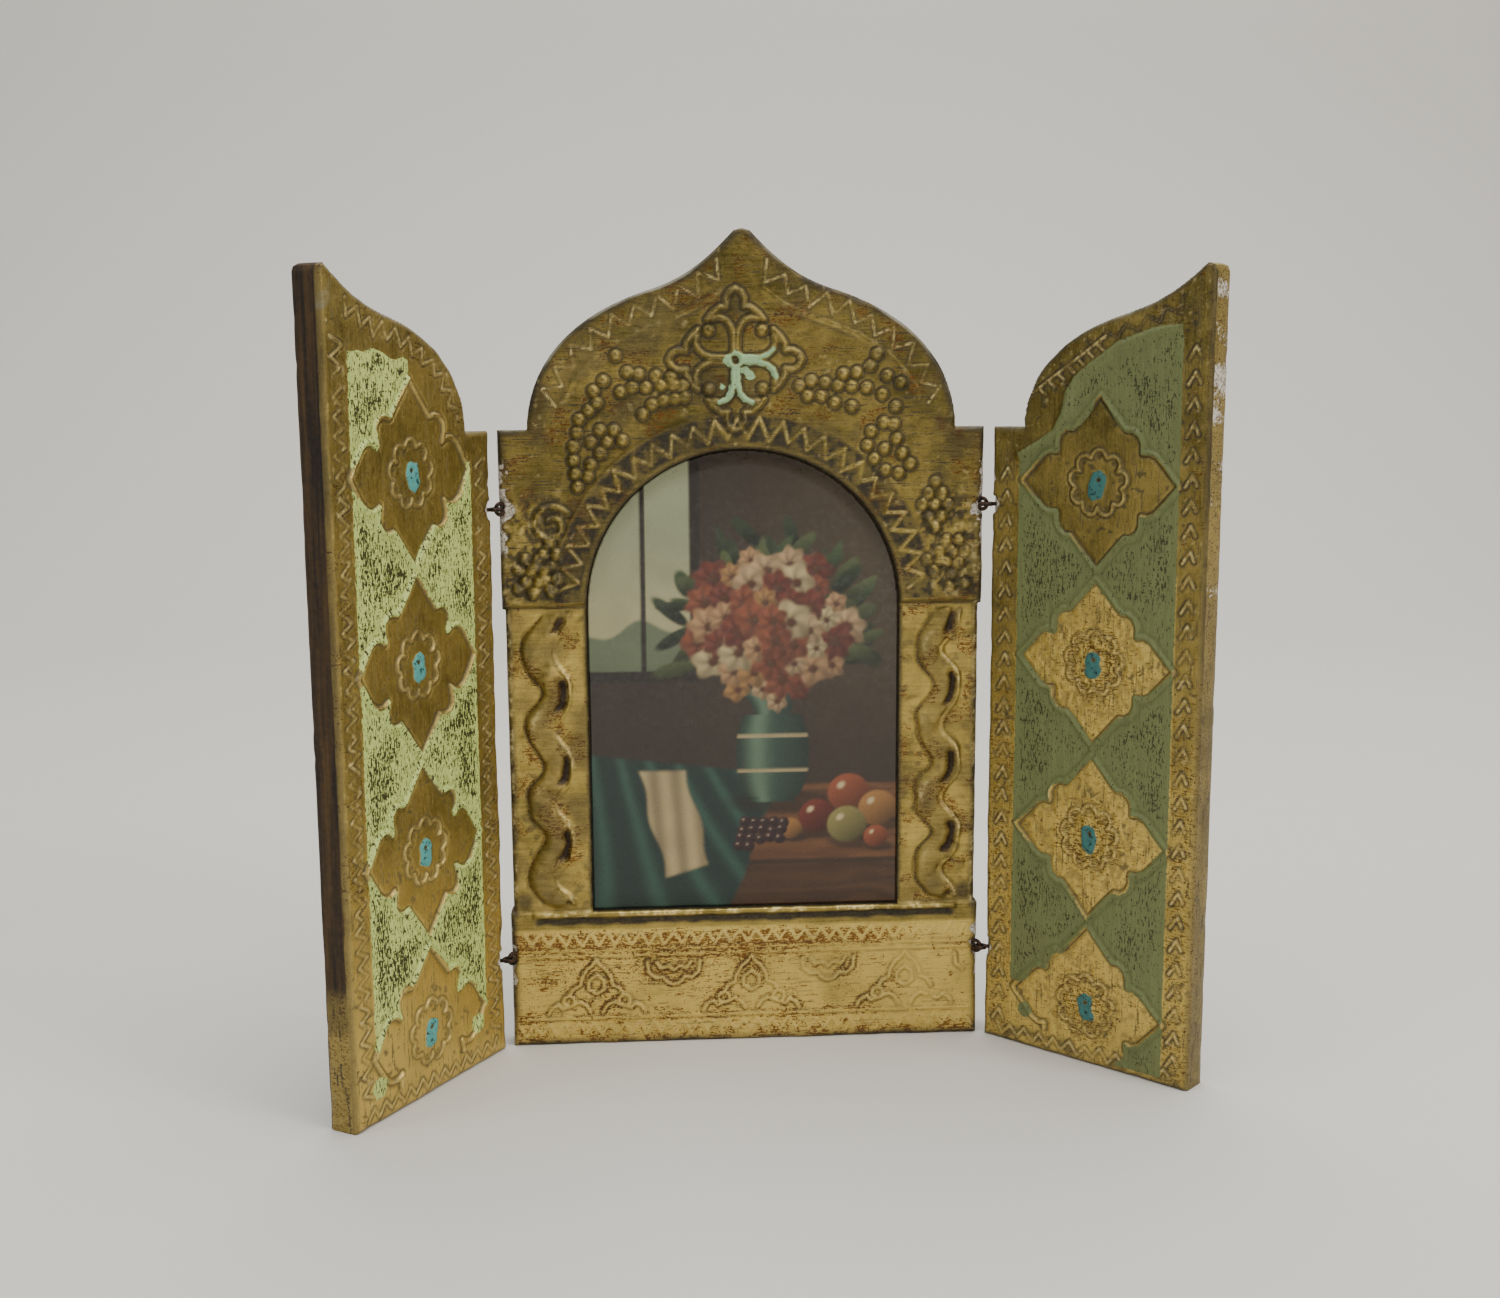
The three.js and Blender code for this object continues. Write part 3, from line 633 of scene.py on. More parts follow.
    # bole where the leaf has rubbed through
    hatch = np.maximum(smooth(0.75, 1.15, noise(0.5, 54, 1.8)), smooth(0.6, 1.0, noise(3.0, 55, 0.45)))
    clear = smooth(0.3, 1.0, np.minimum(lines, beadAway - 1.0))
    scored = ridge(np.minimum(footLines, rules) - 0.6, 0.35)
    footBand = np.exp(-((np.abs(z - 21.2)) / 1.9) ** 4)
    bole = highest(
        inFoot * footWear * (0.42 + 0.3 * noise(5.0, 39) + 0.5 * scored),
        1.3 * inFoot * footBand * smooth(0.15, 0.4, footStrokes) * smooth(46, 20, x),
        inFoot * 0.9 * smooth(5.0, 2.0, z) * (0.5 + 0.5 * broken),
        inFoot * 1.1 * hatch * (0.45 + 0.55 * footWear))
    bole = highest(
        np.clip(np.minimum(bole, 3 * smooth(0.1, 0.35, np.minimum(footLines, footStrokes))), 0, 1.0),
        inColumn * 0.75 * smooth(0.0, 0.5, noise(3.2, 47)),
        inRibbon * 1.1 * smooth(0.15, 0.6, twist + 0.5 * leftLine),
        header * clear * 0.75 * smooth(-0.05, 0.5, noise(4.0, 36)),
        header * clear * 0.6 * smooth(3.6, 2.0, rim) * smooth(-0.3, 0.2, noise(3.0, 40)))

    # mint paint on the ring and three arms of the crest
    mint = np.minimum(crestRing, nearLines(grid, [arms[2][:5], arms[3][:4], arms[4][:5], arms[5][:5]]))
    paint = highest(
        0.52 - mint,
        0.9 - nearLine(grid, [crestSpot(0.14, -0.15), crestSpot(0.22, -0.22)]),
        0.5 - nearPoints(grid, [crestSpot(-0.14, -0.02), crestSpot(-0.2, -0.38)])) + 0.2 * noise(0.9, 21)

    topEdge = (smooth(121.0, 123.0, z) * smooth(44.5, 43.0, ax)
               + smooth(121.5, 121.9, z) * smooth(44.0, 45.0, ax))
    fields = {
        "paint": np.clip(paint, -3, 3),
        "dot": np.full(x.shape, -3.0),
        "dark": np.clip(dark, 0, 1),
        "rise": np.clip(rise, 0, 1),
        "bright": np.clip(bright, 0, 1),
        "bole": bole,
        "chip": chip,
        "streak": np.clip(0.3 + 0.7 * header - 0.15 * inColumn + 0.35 * inFoot * footWear, 0, 1),
        "fleck": np.zeros(x.shape),
        "bare": (0.45 + 0.35 * noise(6.0, 42)) * smooth(0.9, 0.3, rim) * topEdge
                + 0.3 * smooth(4.5, 1.0, np.hypot(x + 3.5, z - 152.5)),
        "wood": np.zeros(x.shape),
    }

    def edgeTop(px, pz, k):
        return np.where((pz > 120) & (k < 3), 0.7, 0.0)

    def edgeWood(px, pz, k):
        return np.where(pz > 120, 0.3, 0.75) if k < 4 else np.ones(len(px))

    walls = {
        "outer": {
            "rings": boardRings,
            "fields": dict(plainRim, bright=0.2, dark=0.5, bole=0.2, streak=0.3, bare=edgeTop, wood=edgeWood),
        },
        # painted shade: the walls down into the picture's opening are fully dark
        "inner": {
            "rings": [(0.0, face - 0.9, 0.0), (0.0, face - centre["pocket"], 0.0)],
            "fields": dict(plainRim, bright=0.1, dark=1.0),
        },
    }
    return boardMesh("centrePanel", grid, outline, hole, height, fields, walls, centrePlace, False)


# the wings

wings = {
    "width": 45.2,
    "ledgeX": 6.9,
    "neck": (27.0, 142.4),
    "tip": 151.0,
    "tipRound": 1.4,
    "diamondX": 23.3,
    "diamondHalf": 16.6,
    "rosette": 4.4,
    "petal": 1.7,
    "fieldIn": 6.2,
    "footBorder": 4.0,
    "step": 0.285,
    "left": {"side": -1, "fold": math.radians(58.6), "top": 132.5, "pitch": 34.4, "fieldOut": 39.4,
             "chips": (3.0, 3.0)},
    "right": {"side": 1, "fold": -math.radians(45.5), "top": 128.8, "pitch": 33.5, "fieldOut": 39.8,
              "chips": (3.0, 1.6)},
    # pitch and width of the punched zigzags
    "footMarks": (3.4, 2.2),
    "hingeMarks": (3.1, 2.8),
    "freeMarks": (3.3, 2.7),
    "topMarks": (3.6, 2.6),
    "scratch": [(9.0, 128.5), (24.1, 138.7)],
    "rightTop": [(6.2, 117.0), (10.0, 118.4), (14.0, 120.9), (16.0, 124.5), (16.9, 128.3), (18.6, 131.0),
                 (21.1, 133.0), (27.4, 137.1), (34.3, 139.3), (39.8, 140.4)],
}

# a quarter of the diamond, in shares of its half sizes; the left wing's lobes are rounder
roundQuarter = [(0, 1), (0.33, 0.59), (0.42, 0.61), (0.5, 0.59), (0.56, 0.52), (0.57, 0.42), (0.54, 0.31),
                (0.62, 0.36), (0.71, 0.36), (0.8, 0.3), (0.89, 0.17), (1, 0)]
flatQuarter = [(0, 1), (0.3, 0.65), (0.34, 0.61), (0.42, 0.61), (0.5, 0.55), (0.54, 0.46), (0.54, 0.35),
               (0.62, 0.36), (0.71, 0.32), (0.79, 0.23), (1, 0)]


def diamondPath(x, z, halfX, halfZ, q):
    turned = q + [(u, -v) for u, v in q[-2::-1]] + [(-u, -v) for u, v in q[1:]]
    turned += [(-u, v) for u, v in q[-2:0:-1]]
    return [(x + u * halfX, z + v * halfZ) for u, v in turned]


def wingOutline():
    tip, cut = wings["tip"], wings["tipRound"]
    rise = ogee(wings["ledgeX"], *wings["neck"], wings["width"] - cut, tip)
    w = wings["width"]
    end = [(w - 0.3 * cut, tip - 0.3 * cut), (w, tip - cut), (w, 0), (0, 0), (0, board["ledge"]),
           (wings["ledgeX"], board["ledge"])]
    return (rise + end)[::-1], rise


def makeWing(which):
    side, fold = which["side"], which["fold"]
    left = side < 0
    seed = 100 if left else 200
    outline, rise = wingOutline()
    far, middleX = wings["width"], wings["diamondX"]
    grid = gridOver(0, far, 0, wings["tip"], wings["step"])
    x, z = grid["x"], grid["z"]

    def noise(size, own):
        return lumps(grid, size, seed + own)

    rim = nearLine(grid, outline, 4.0, closed=True)
    height = face + 0.08 * noise(7.0, 0) + 0.04 * noise(1.9, 1)

    # painted field between the gilt borders, with the diamonds left gilt
    fieldTop = (sideways(rise, -5.6) if left else sideways(wings["rightTop"], 0.9)).tolist()
    inner, outer = wings["fieldIn"], which["fieldOut"]
    fieldTop = [p for p in fieldTop if inner + 0.3 < p[0] < outer - 0.3]
    foot = wings["footBorder"] if left else 1.2
    field = [(inner, foot)] + [(inner, fieldTop[0][1] - 2.0)] + fieldTop
    field += [(outer, fieldTop[-1][1] + 0.5), (outer, foot)]
    inField = signed(grid, field)
    paint = inField
    middles = [(middleX, which["top"] - (i + 0.5) * which["pitch"]) for i in range(4)]
    quarter = roundQuarter if left else flatQuarter
    diamonds = [diamondPath(cx, cz, wings["diamondHalf"], which["pitch"] / 2 - 0.5, quarter)
                for cx, cz in middles]
    overRidge = (0.3 if left else 0.45) + 0.6 * noise(5.0, 13)
    for path in diamonds:
        paint = np.minimum(paint, overRidge - signed(grid, path))
    if left:
        # the top of the hinge side stays gilt, and the paint stops short of the tip
        topGilt = (x < middleX) & (z > middles[0][1] + 1.5)
        paint = np.where(topGilt, -3.0, paint)
        paint = np.minimum(paint, 136.8 - z + 0.09 * (x - 38) + 0.8 * noise(2.5, 14))
        paint = np.where(z < 11.5, 2.0 - nearPoints(grid, [(38.6, 6.4), (9.2, 8.4)]), paint)
    else:
        # green runs down to the foot beside the free edge, and at the hinge side only a spot of it is left
        paint = np.where((z < 13) & (x < 30), 1.6 - nearPoints(grid, [(9.8, 7.4)]), paint)
    lines = np.where(z < wings["footBorder"], 3.0, nearLines(grid, diamonds, closed=True))
    fillet = nearLine(grid, wings["rightTop"]) + 3.0 * left

    # rosettes of nine petals, each with an enamel drop that has run down
    angles = np.linspace(0, 2 * math.pi, 97)[:-1]
    reach = wings["rosette"] + wings["petal"] * np.abs(np.cos(4.5 * angles)) ** 0.55
    rosettes = nearLines(grid, [list(zip(cx + reach * np.sin(angles), cz + reach * np.cos(angles)))
                                for cx, cz in middles], closed=True)
    petals = [(cx + 4.8 * math.sin(a), cz + 4.8 * math.cos(a))
              for cx, cz in middles for a in np.arange(9) * math.pi / 4.5]
    drops = nearLines(grid, [[(cx, cz + 0.6), (cx - 0.5 + 0.3 * k, cz - 1.5)]
                             for k, (cx, cz) in enumerate(middles)])
    pits = nearPoints(grid, [(cx + 0.1, cz + 0.6) for cx, cz in middles])
    dots = np.minimum(1.75 - drops + 0.3 * noise(0.9, 3), 2.5 * (pits - 0.42))

    # punched zigzags in the borders
    bend = [p for p in sideways(rise[2:-1], -2.9).tolist() if p[0] < 41]
    marks = [zigzag([(3.0, 2.3), (far - 3.0, 2.3)], *wings["footMarks"], seed + 8)]
    if left:
        marks += [zigzag([(3.4, 5.0), (3.4, 117.0)], *wings["hingeMarks"], seed + 5),
                  zigzag([(far - 3.4, 5.0), (far - 3.4, 139.0)], *wings["freeMarks"], seed + 6),
                  zigzag(bend, *wings["topMarks"], seed + 7)]
    else:
        # separate pointed marks, one above the other, a long scratch with ticks, and a faint zigzag
        marks += [[(cx - 1.2, cz - 1.1), (cx + 0.2, cz + 1.2), (cx + 1.1, cz - 0.6)]
                  for cx, top in ((3.4, 117.0), (far - 3.2, 139.0)) for cz in np.arange(5.0, top, 4.5)]
        marks += [wings["scratch"]]
        ticks = [(10.2 + 2.0 * k, 129.3 + 1.35 * k) for k in range(7)]
        marks += [[(sx, sz), (sx + 1.5, sz - 1.3)] for sx, sz in ticks]
    strokes = nearLines(grid, marks)
    if not left:
        faint = nearLine(grid, zigzag([p for p in bend if p[0] > 19], 4.0, 2.0, seed + 7))
        strokes = np.minimum(strokes, faint + 0.22)

    # the relief, and where it has worn down
    worn = smooth(-0.6, 0.4, noise(5.0, 9))
    broken = smooth(-0.3, 0.25, noise(1.4, 14) + 0.4 * noise(0.6, 15))
    lowRosette = 1.0 if left else np.where(z < 96, 0.75, 1.0)
    relief = (ridge(lines, 0.34, 0.6) * (0.7 + 0.3 * worn)
              + ridge(rosettes, 0.26, 0.5) * (0.6 + 0.4 * worn) * lowRosette)
    relief += ridge(strokes, 0.2, 0.18) * (0.3 + 0.7 * broken) + 0.3 * smooth(-0.1, 0.6, dots)
    relief -= (ridge(lines - 0.75, 0.26, 0.22) + ridge(rosettes - 0.62, 0.24, 0.14)
               + ridge(strokes - 0.45, 0.2, 0.1))
    relief -= 0.16 * smooth(0.7, 0.2, nearPoints(grid, petals, 2.0))
    if not left:
        # the leaf of the lower diamonds lies crumpled
        crumpled = smooth(96.5, 94.5, z) * (paint < 0) * smooth(5.0, 6.5, x) * smooth(40.5, 39.0, x)
        ruffled = noise(0.75, 31) + 0.8 * noise(1.5, 32)
        relief += crumpled * 0.15 * ruffled * (0.45 + 0.55 * smooth(12, 3, nearPoints(grid, middles, 14.0)))
    relief += 0.06 * smooth(-0.2, 0.2, paint) + ridge(fillet, 0.8, 0.65)
    height += relief
    roundness = board["edgeRound"] * (1.05 + 0.4 * noise(3.0, 10))
    height -= edgeDrop(rim, np.clip(roundness, 0.45, 1.3))
    notch, chip = hingeNotches(grid, x, which["chips"])
    height -= notch + 0.2 * chip
    height = np.where(rim < 1e-6, np.minimum(height, face - 0.55), height)

    # leaf, bole, glaze and rubbed ridges; the leaf is painted lighter towards the bottom as light reflected
    # from the floor, and the ridges and borders carry painted highlights
    bright = 0.24 + 0.12 * noise(10.0, 11)
    bole = 0.55 * smooth(-0.1, 0.5, noise(3.0, 20)) * smooth(0.0, 1.0, -inField)
    if left:
        # painted light: the leaf lighter towards the bottom, reflected from the floor
        bright += 0.2 + 0.55 * smooth(70, 8, z)
    else:
        lower = smooth(96.5, 94.5, z)
        between = smooth(inner - 0.3, inner + 0.3, x) * smooth(outer + 0.3, outer - 0.3, x)
        # painted light: lower diamonds and lower borders lighter and the top darker, as light reflected from
        # the floor
        bright += (lower * between * 0.72 - 0.16 * smooth(100, 130, z)
                   + 0.55 * smooth(95, 30, z) * (1 - between))
        onDiamonds = lower * between * (0.35 * smooth(9, 5, nearPoints(grid, middles, 10.5)) + 0.4)
        bole = np.clip(bole * (1 - lower) + onDiamonds, 0, 0.9)
        bole = np.maximum(bole, 0.6 * smooth(110, 60, z) * (1 - between))
    dark = highest(
        0.7 * smooth(1.3, 0.0, rim),
        smooth(0.8, 0.3, pits),
        ridge(lines - 0.64, 0.24),
        0.9 * ridge(rosettes - 0.52, 0.22) * lowRosette,
        0.7 * smooth(0.7, 0.3, nearPoints(grid, petals, 2.0)) * lowRosette,
        ridge(strokes - 0.48, 0.26) * (0.6 + 0.4 * broken),
        0.75 * smooth(0.75, 1.05, noise(0.8, 18) + 0.5 * noise(3.0, 19)))
    if not left:
        dark = highest(dark, crumpled * 0.35 * smooth(-0.1, -0.7, ruffled),
                       0.7 * smooth(4.5, 2.5, z) * broken)
    inBorder = smooth(0.2, 1.2, -inField) * smooth(0.3, 0.9, rim)
    # rubbed ridges with painted highlights on them, and painted glints scattered in the borders
    top = highest(
        0.65 * np.maximum(ridge(lines, 0.24), ridge(rosettes, 0.22) * lowRosette) * (0.4 + 0.6 * worn),
        ridge(strokes, 0.18) * (0.3 + 0.7 * broken),
        (0.6 if left else 0.35) * inBorder * smooth(0.6, 0.95, noise(0.6, 17)))
    tipChip = smooth(4.0, 1.0, np.hypot(x - far + 1.0, z - wings["tip"] + 5) + 1.5 * noise(1.6, 12))
    fields = {
        "paint": np.clip(paint, -3, 3),
        "dot": np.clip(dots, -3, 3),
        "dark": np.clip(dark, 0, 1),
        "rise": np.clip(top, 0, 1),
        "bright": np.clip(bright, 0, 1),
        "bole": bole,
        "chip": np.clip(chip, 0, 1),
        "streak": np.full(x.shape, 0.85 if left else 0.8),
        "fleck": smooth(0.7, 3.6, np.minimum(np.minimum(lines, fillet), paint * 1.5))
                 * smooth(-0.7, 0.5, noise(5.0, 16) + 0.2),
        "bare": np.maximum(0.6 * tipChip * left, 0.5 * smooth(1.0, 0.4, rim) * smooth(120, 123, z)
                           * (x < far - 2)),
        "wood": np.zeros(x.shape),
    }

    # the walls, ring by ring: only the first rings reach the face, and the last two lie on the back
    freeEdge = far - 1.5

    def woodAt(px, pz, k):
        # the left free edge is dark down to its gilt foot; the backs are toned wood
        if k > 3:
            return np.ones(len(px))
        if left:
            return np.where(px > freeEdge, smooth(19, 25, pz + 2.5 * np.sin(pz / 2.3)), 0.6)
        return np.where(px > freeEdge, 0.0, 0.5)

    def chipAt(px, pz, k):
        if left or k > 3:
            return np.zeros(len(px))
        flaked = 0.35 + 0.5 * np.sin(pz / 4.1 + 0.4 * k) * np.sin(pz / 1.7) + 0.3 * np.sin(pz / 9.3)
        return np.where(px > freeEdge, 0.75 * smooth(58, 100, pz) * np.clip(flaked, 0, 1), 0.0)

    def bareAt(px, pz, k):
        return np.where((px < freeEdge) & (pz > 121) & (k < 3), 0.65, 0.0)

    def brightAt(px, pz, k):
        return np.where(px > freeEdge, 0.5 if left else 0.2 + 0.45 * smooth(60, 110, pz), 0.25)

    walls = {"outer": {
        "rings": boardRings,
        "fields": dict(plainRim, bright=brightAt, dark=0.25, chip=chipAt, bole=0.6, streak=1, bare=bareAt,
                       wood=woodAt),
    }}
    name = "leftWing" if left else "rightWing"
    return boardMesh(name, grid, outline, None, height, fields, walls, wingPlace(side, fold), left)


# the printed picture, a still life of the maker's own: flowers in a jar by a window, fruit and drapery

picture = {
    "inset": 0.3,
    "step": 0.29,
    "top": 1.12,
    "bottom": 1.5,
    "wall": "#3b3029",
    "wallLit": "#54452f",
    "sky": "#a9b79a",
    "skyLow": "#c4c39a",
    "hills": "#6d8268",
    "frame": "#2a221a",
    "table": "#6a4023",
    "tableLit": "#94602f",
    "cloth": "#16393a",
    "clothLit": "#2c605a",
    "parchment": "#cdb98a",
    "jar": "#274a44",
    "jarLit": "#6f9a86",
    "leaves": ("#2c4429", "#3f5a33", "#55683a"),
    "blooms": ("#a9532f", "#d8a570", "#e4cf9c", "#c9924a", "#8e3a28", "#dfb98a"),
    "fruit": ("#b9572c", "#c98a35", "#8c2f22", "#a8a052", "#4a2a33"),
    "fruitSpots": ((20.5, 50.2, 4.1), (26.3, 47.0, 3.8), (14.2, 45.6, 3.6), (20.2, 43.8, 3.9),
                   (26.0, 41.2, 2.4),
                   (9.0, 43.2, 2.2)),
}


def tint(code):
    return np.array(linear(code)[:3])


def blend(codeA, codeB, share):
    return tint(codeA) + (tint(codeB) - tint(codeA)) * share[..., None]


def paintOver(canvas, mask, colour):
    # a colour, or the name of one in the picture's dictionary
    if isinstance(colour, str):
        colour = tint(picture[colour])
    canvas += mask[..., None] * (colour - canvas)


def brushed(canvas, x, z, spot, size, turn, code, soft=0.12, petals=0, depth=0.7):
    # a rounded shape lit from the upper left, with petals or none
    u, v = x - spot[0], z - spot[1]
    c, s = math.cos(turn), math.sin(turn)
    p, q = (c * u + s * v) / size[0], (c * v - s * u) / size[1]
    away = np.hypot(p, q)
    angle = np.arctan2(q, p)
    edge = 1 + (0.13 * np.cos(petals * angle + spot[0]) if petals else 0)
    mask = smooth(1 + soft, 1 - soft, away / edge)
    light = 0.5 + 0.5 * (-0.6 * u / size[0] + 0.8 * v / size[1])
    shade = 1 - depth + depth * np.clip(light, 0, 1.15)
    if petals:
        shade = shade * (0.86 + 0.2 * np.cos(petals * angle + spot[0] + 3 * away))
        shade = shade * (0.62 + 0.42 * smooth(0.1, 0.6, away))
    paintOver(canvas, mask, tint(code) * shade[..., None])


def paintStillLife(grid):
    x, z = grid["x"], grid["z"]
    canvas = np.zeros(x.shape + (3,))
    canvas += tint(picture["wall"])
    paintOver(canvas, smooth(-14, 26, x) * smooth(40, 96, z) * 0.8, "wallLit")

    # window on the left, with low hills
    window = smooth(-9.0, -9.8, x) * smooth(74.0, 74.7, z)
    paintOver(canvas, window, blend(picture["sky"], picture["skyLow"], smooth(104, 80, z)))
    ridgeLine = 83 + 1.6 * np.sin(x / 4.0) + 0.8 * np.sin(x / 1.7 + 1)
    paintOver(canvas, window * smooth(ridgeLine + 0.5, ridgeLine - 0.5, z), "hills")
    frameLine = np.minimum(np.abs(x + 9.4), np.where(x < -8, np.abs(z - 74.2), 9))
    paintOver(canvas, smooth(1.3, 0.8, frameLine) * (z > 73) * (x < -8), "frame")
    paintOver(canvas, smooth(0.6, 0.35, np.abs(x + 19.5)) * window, "frame")

    # table, with grain, and its front edge
    table = smooth(52.6, 51.8, z)
    grain = 0.5 + 0.5 * np.sin(z * 2.1 + 0.6 * np.sin(x / 5) + lumps(grid, 6.0, 61, 1.2) * 2)
    paintOver(canvas, table, "table")
    paintOver(canvas, table * grain * smooth(-20, 22, x) * 0.55, "tableLit")
    paintOver(canvas, smooth(0.7, 0.2, np.abs(z - 36.5)) * 0.8, "frame")
    paintOver(canvas, smooth(36.5, 36.0, z) * 0.55, "frame")

    # drapery that falls from the table's left, and a parchment cloth over it
    drop = smooth(0.6, -0.6, x + 2.5 - 9.0 * smooth(27, 54, z) + 0.9 * np.sin(z / 3.1))
    drop *= smooth(55.6, 54.6, z + 0.12 * x)
    folds = 0.5 + 0.5 * np.sin(x * 0.62 + 0.055 * (z - 30) * (x + 32) * 0.35 + 0.8 * np.sin(z / 9))
    paintOver(canvas, drop, blend(picture["cloth"], picture["clothLit"], folds ** 3))
    fall = smooth(0.5, -0.5, np.abs(x + 14.5 + 0.24 * (z - 48)) - 4.6 - 0.5 * np.sin(z / 2.2))
    fall *= smooth(33.4, 34.4, z - 0.3 * x - 4.5) * smooth(55.8, 54.8, z)
    crease = 0.55 + 0.45 * np.sin(x * 1.5 + z * 0.12)
    paintOver(canvas, fall, tint(picture["parchment"]) * (0.5 + 0.5 * crease)[..., None])

    # jar
    half = 7.2 * np.sqrt(np.clip(1 - ((z - 58.5) / 11.5) ** 2, 0, 1)) ** 0.8
    half = np.where(z > 66.2, 3.6 + 0.14 * (z - 66.2) ** 2, np.where(z < 49.8, 4.4, half))
    inJar = smooth(0.3, -0.3, np.abs(x - 5.5) - half) * smooth(48.4, 48.9, z) * smooth(71.6, 71.0, z)
    across = (x - 5.5) / np.maximum(half, 1)
    lit = np.exp(-((across + 0.42) / 0.3) ** 2)
    paintOver(canvas, 0.75 * smooth(1.25, 0.6, np.hypot((x - 8.5) / 12.0, (z - 48.6) / 2.4)), "frame")
    paintOver(canvas, inJar, tint(picture["jar"]) * (0.55 + 0.75 * (1 - np.abs(across)))[..., None])
    paintOver(canvas, inJar * lit * 0.75, "jarLit")
    for band in (62.0, 55.0):
        paintOver(canvas, inJar * smooth(0.5, 0.2, np.abs(z - band)) * 0.8, "parchment")

    # leaves first, then blooms over them
    random = np.random.default_rng(7)
    for k in range(64):
        angle = random.uniform(-0.35, math.pi + 0.35)
        reach = random.uniform(9, 19.5)
        spot = (5.0 + 1.05 * reach * math.cos(angle), 82 + reach * 1.05 * math.sin(angle))
        brushed(canvas, x, z, spot, (random.uniform(2.6, 4.6), random.uniform(0.9, 1.6)),
                angle + random.uniform(-0.6, 0.6), picture["leaves"][k % 3], 0.2, 0, 0.75)
    for k in range(46):
        angle = k * 2.39996
        reach = 15.2 * math.sqrt((45.5 - k) / 46)
        spot = (5.0 + reach * math.cos(angle), 83.5 + 0.98 * reach * math.sin(angle))
        size = random.uniform(2.1, 4.0)
        brushed(canvas, x, z, spot, (size, size * random.uniform(0.8, 1.0)), random.uniform(0, 3),
                picture["blooms"][int(random.integers(0, 6))], 0.16, int(random.integers(5, 8)), 0.55)
        brushed(canvas, x, z, (spot[0] + 0.2, spot[1] - 0.2), (0.26 * size, 0.24 * size), 0, "#6b3a1c", 0.4,
                0, 0.4)

    # fruit on the table
    for k, (fx, fz, size) in enumerate(picture["fruitSpots"]):
        under = np.hypot((x - fx - 0.8) / (1.3 * size), (z - fz + 0.85 * size) / (0.45 * size))
        paintOver(canvas, 0.7 * smooth(1.2, 0.6, under), "frame")
        brushed(canvas, x, z, (fx, fz), (size, 0.94 * size), 0.2, picture["fruit"][k % 4], 0.08, 0, 0.8)
        brushed(canvas, x, z, (fx - 0.35 * size, fz + 0.38 * size), (0.2 * size, 0.14 * size), 0.7,
                "#f0dcb0", 0.6, 0, 0.1)
    for k in range(17):
        spot = (1.9 * (k % 5) - 0.4 * (k // 5), 44.6 - 1.6 * (k // 5) + random.uniform(-0.3, 0.3))
        brushed(canvas, x, z, spot, (1.15, 1.1), 0, picture["fruit"][4], 0.15, 0, 0.8)
        brushed(canvas, x, z, (spot[0] - 0.35, spot[1] + 0.4), (0.26, 0.2), 0, "#b9a79c", 0.6, 0, 0.2)
    canvas *= (1 + 0.015 * lumps(grid, 0.7, 62) + 0.07 * lumps(grid, 4.0, 63))[..., None]
    grey = canvas @ np.array([0.3, 0.59, 0.11])
    canvas = 0.8 * canvas + 0.2 * grey[..., None]
    return np.clip(canvas * np.array([0.66, 0.62, 0.5]), 0, 1)


def makePicture():
    outline = archPath(picture["inset"])
    r = centre["archHalf"] - picture["inset"]
    grid = gridOver(-r, r, centre["sillTop"] + picture["inset"], centre["spring"] + r, picture["step"])
    rim = nearLine(grid, outline, 4.0, closed=True)
    height = face - picture["top"] - 0.16 * smooth(3.0, 0.0, rim) - 0.03 * (1 + lumps(grid, 14.0, 31))
    walls = {"outer": {"rings": [(0.0, face - picture["bottom"], 0.0)], "fields": {}}}
    canvas = paintStillLife(grid)
    fields = {"inkRed": canvas[..., 0], "inkGreen": canvas[..., 1], "inkBlue": canvas[..., 2], "rimAway": rim}
    return boardMesh("pictureCard", grid, outline, None, height, fields, walls, centrePlace, False)


centrePiece = makeCentre()
leftPiece = makeWing(wings["left"])
rightPiece = makeWing(wings["right"])
picturePiece = makePicture()

for piece, node, body, slot in (
        (centrePiece, "centre_panel", "centre", "gilt_gesso"),
        (leftPiece, "left_wing", "left_wing", "mint_and_gilt"),
        (rightPiece, "right_wing", "right_wing", "sage_and_gilt"),
        (picturePiece, "picture", "centre", "printed_card")):
    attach(piece, body)
    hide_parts(node)
print("panels made")


# the linked wire eyes

wire = {
    "radius": 0.4,
    "ring": 1.05,
    "shank": 5.59,
    "sides": 12,
    "lean": math.radians(45),
}


def sweepWire(name, path):
    # a round wire along a path in metres, with slightly uneven thickness
    random = np.random.default_rng(len(name) + int(abs(path[0][2]) * 1e5))
    path = np.array(path, float)
    way = np.gradient(path, axis=0)
    way /= np.linalg.norm(way, axis=1)[:, None]
    side = np.cross(way[0], [0.31, 0.47, 0.83])
    points = []
    angles = np.linspace(0, 2 * math.pi, wire["sides"], endpoint=False)
    for spot, ahead in zip(path, way):
        side = side - ahead * np.dot(side, ahead)
        side /= np.linalg.norm(side)
        up = np.cross(ahead, side)
        radius = wire["radius"] / 1000 * random.uniform(0.93, 1.0)
        points += [spot + radius * (math.cos(a) * side + math.sin(a) * up) for a in angles]
    n, last = wire["sides"], len(path) - 1
    faces = [(k * n + i, k * n + (i + 1) % n, (k + 1) * n + (i + 1) % n, (k + 1) * n + i)
             for k in range(last) for i in range(n)]
    faces += [tuple(reversed(range(n))), tuple(last * n + i for i in range(n))]
    mesh = bpy.data.meshes.new(name)
    mesh.from_pydata([tuple(p) for p in points], [], faces)
    mesh.polygons.foreach_set("use_smooth", [len(f) == 4 for f in faces])
    piece = bpy.data.objects.new(name, mesh)
    bpy.context.scene.collection.objects.link(piece)
    return piece


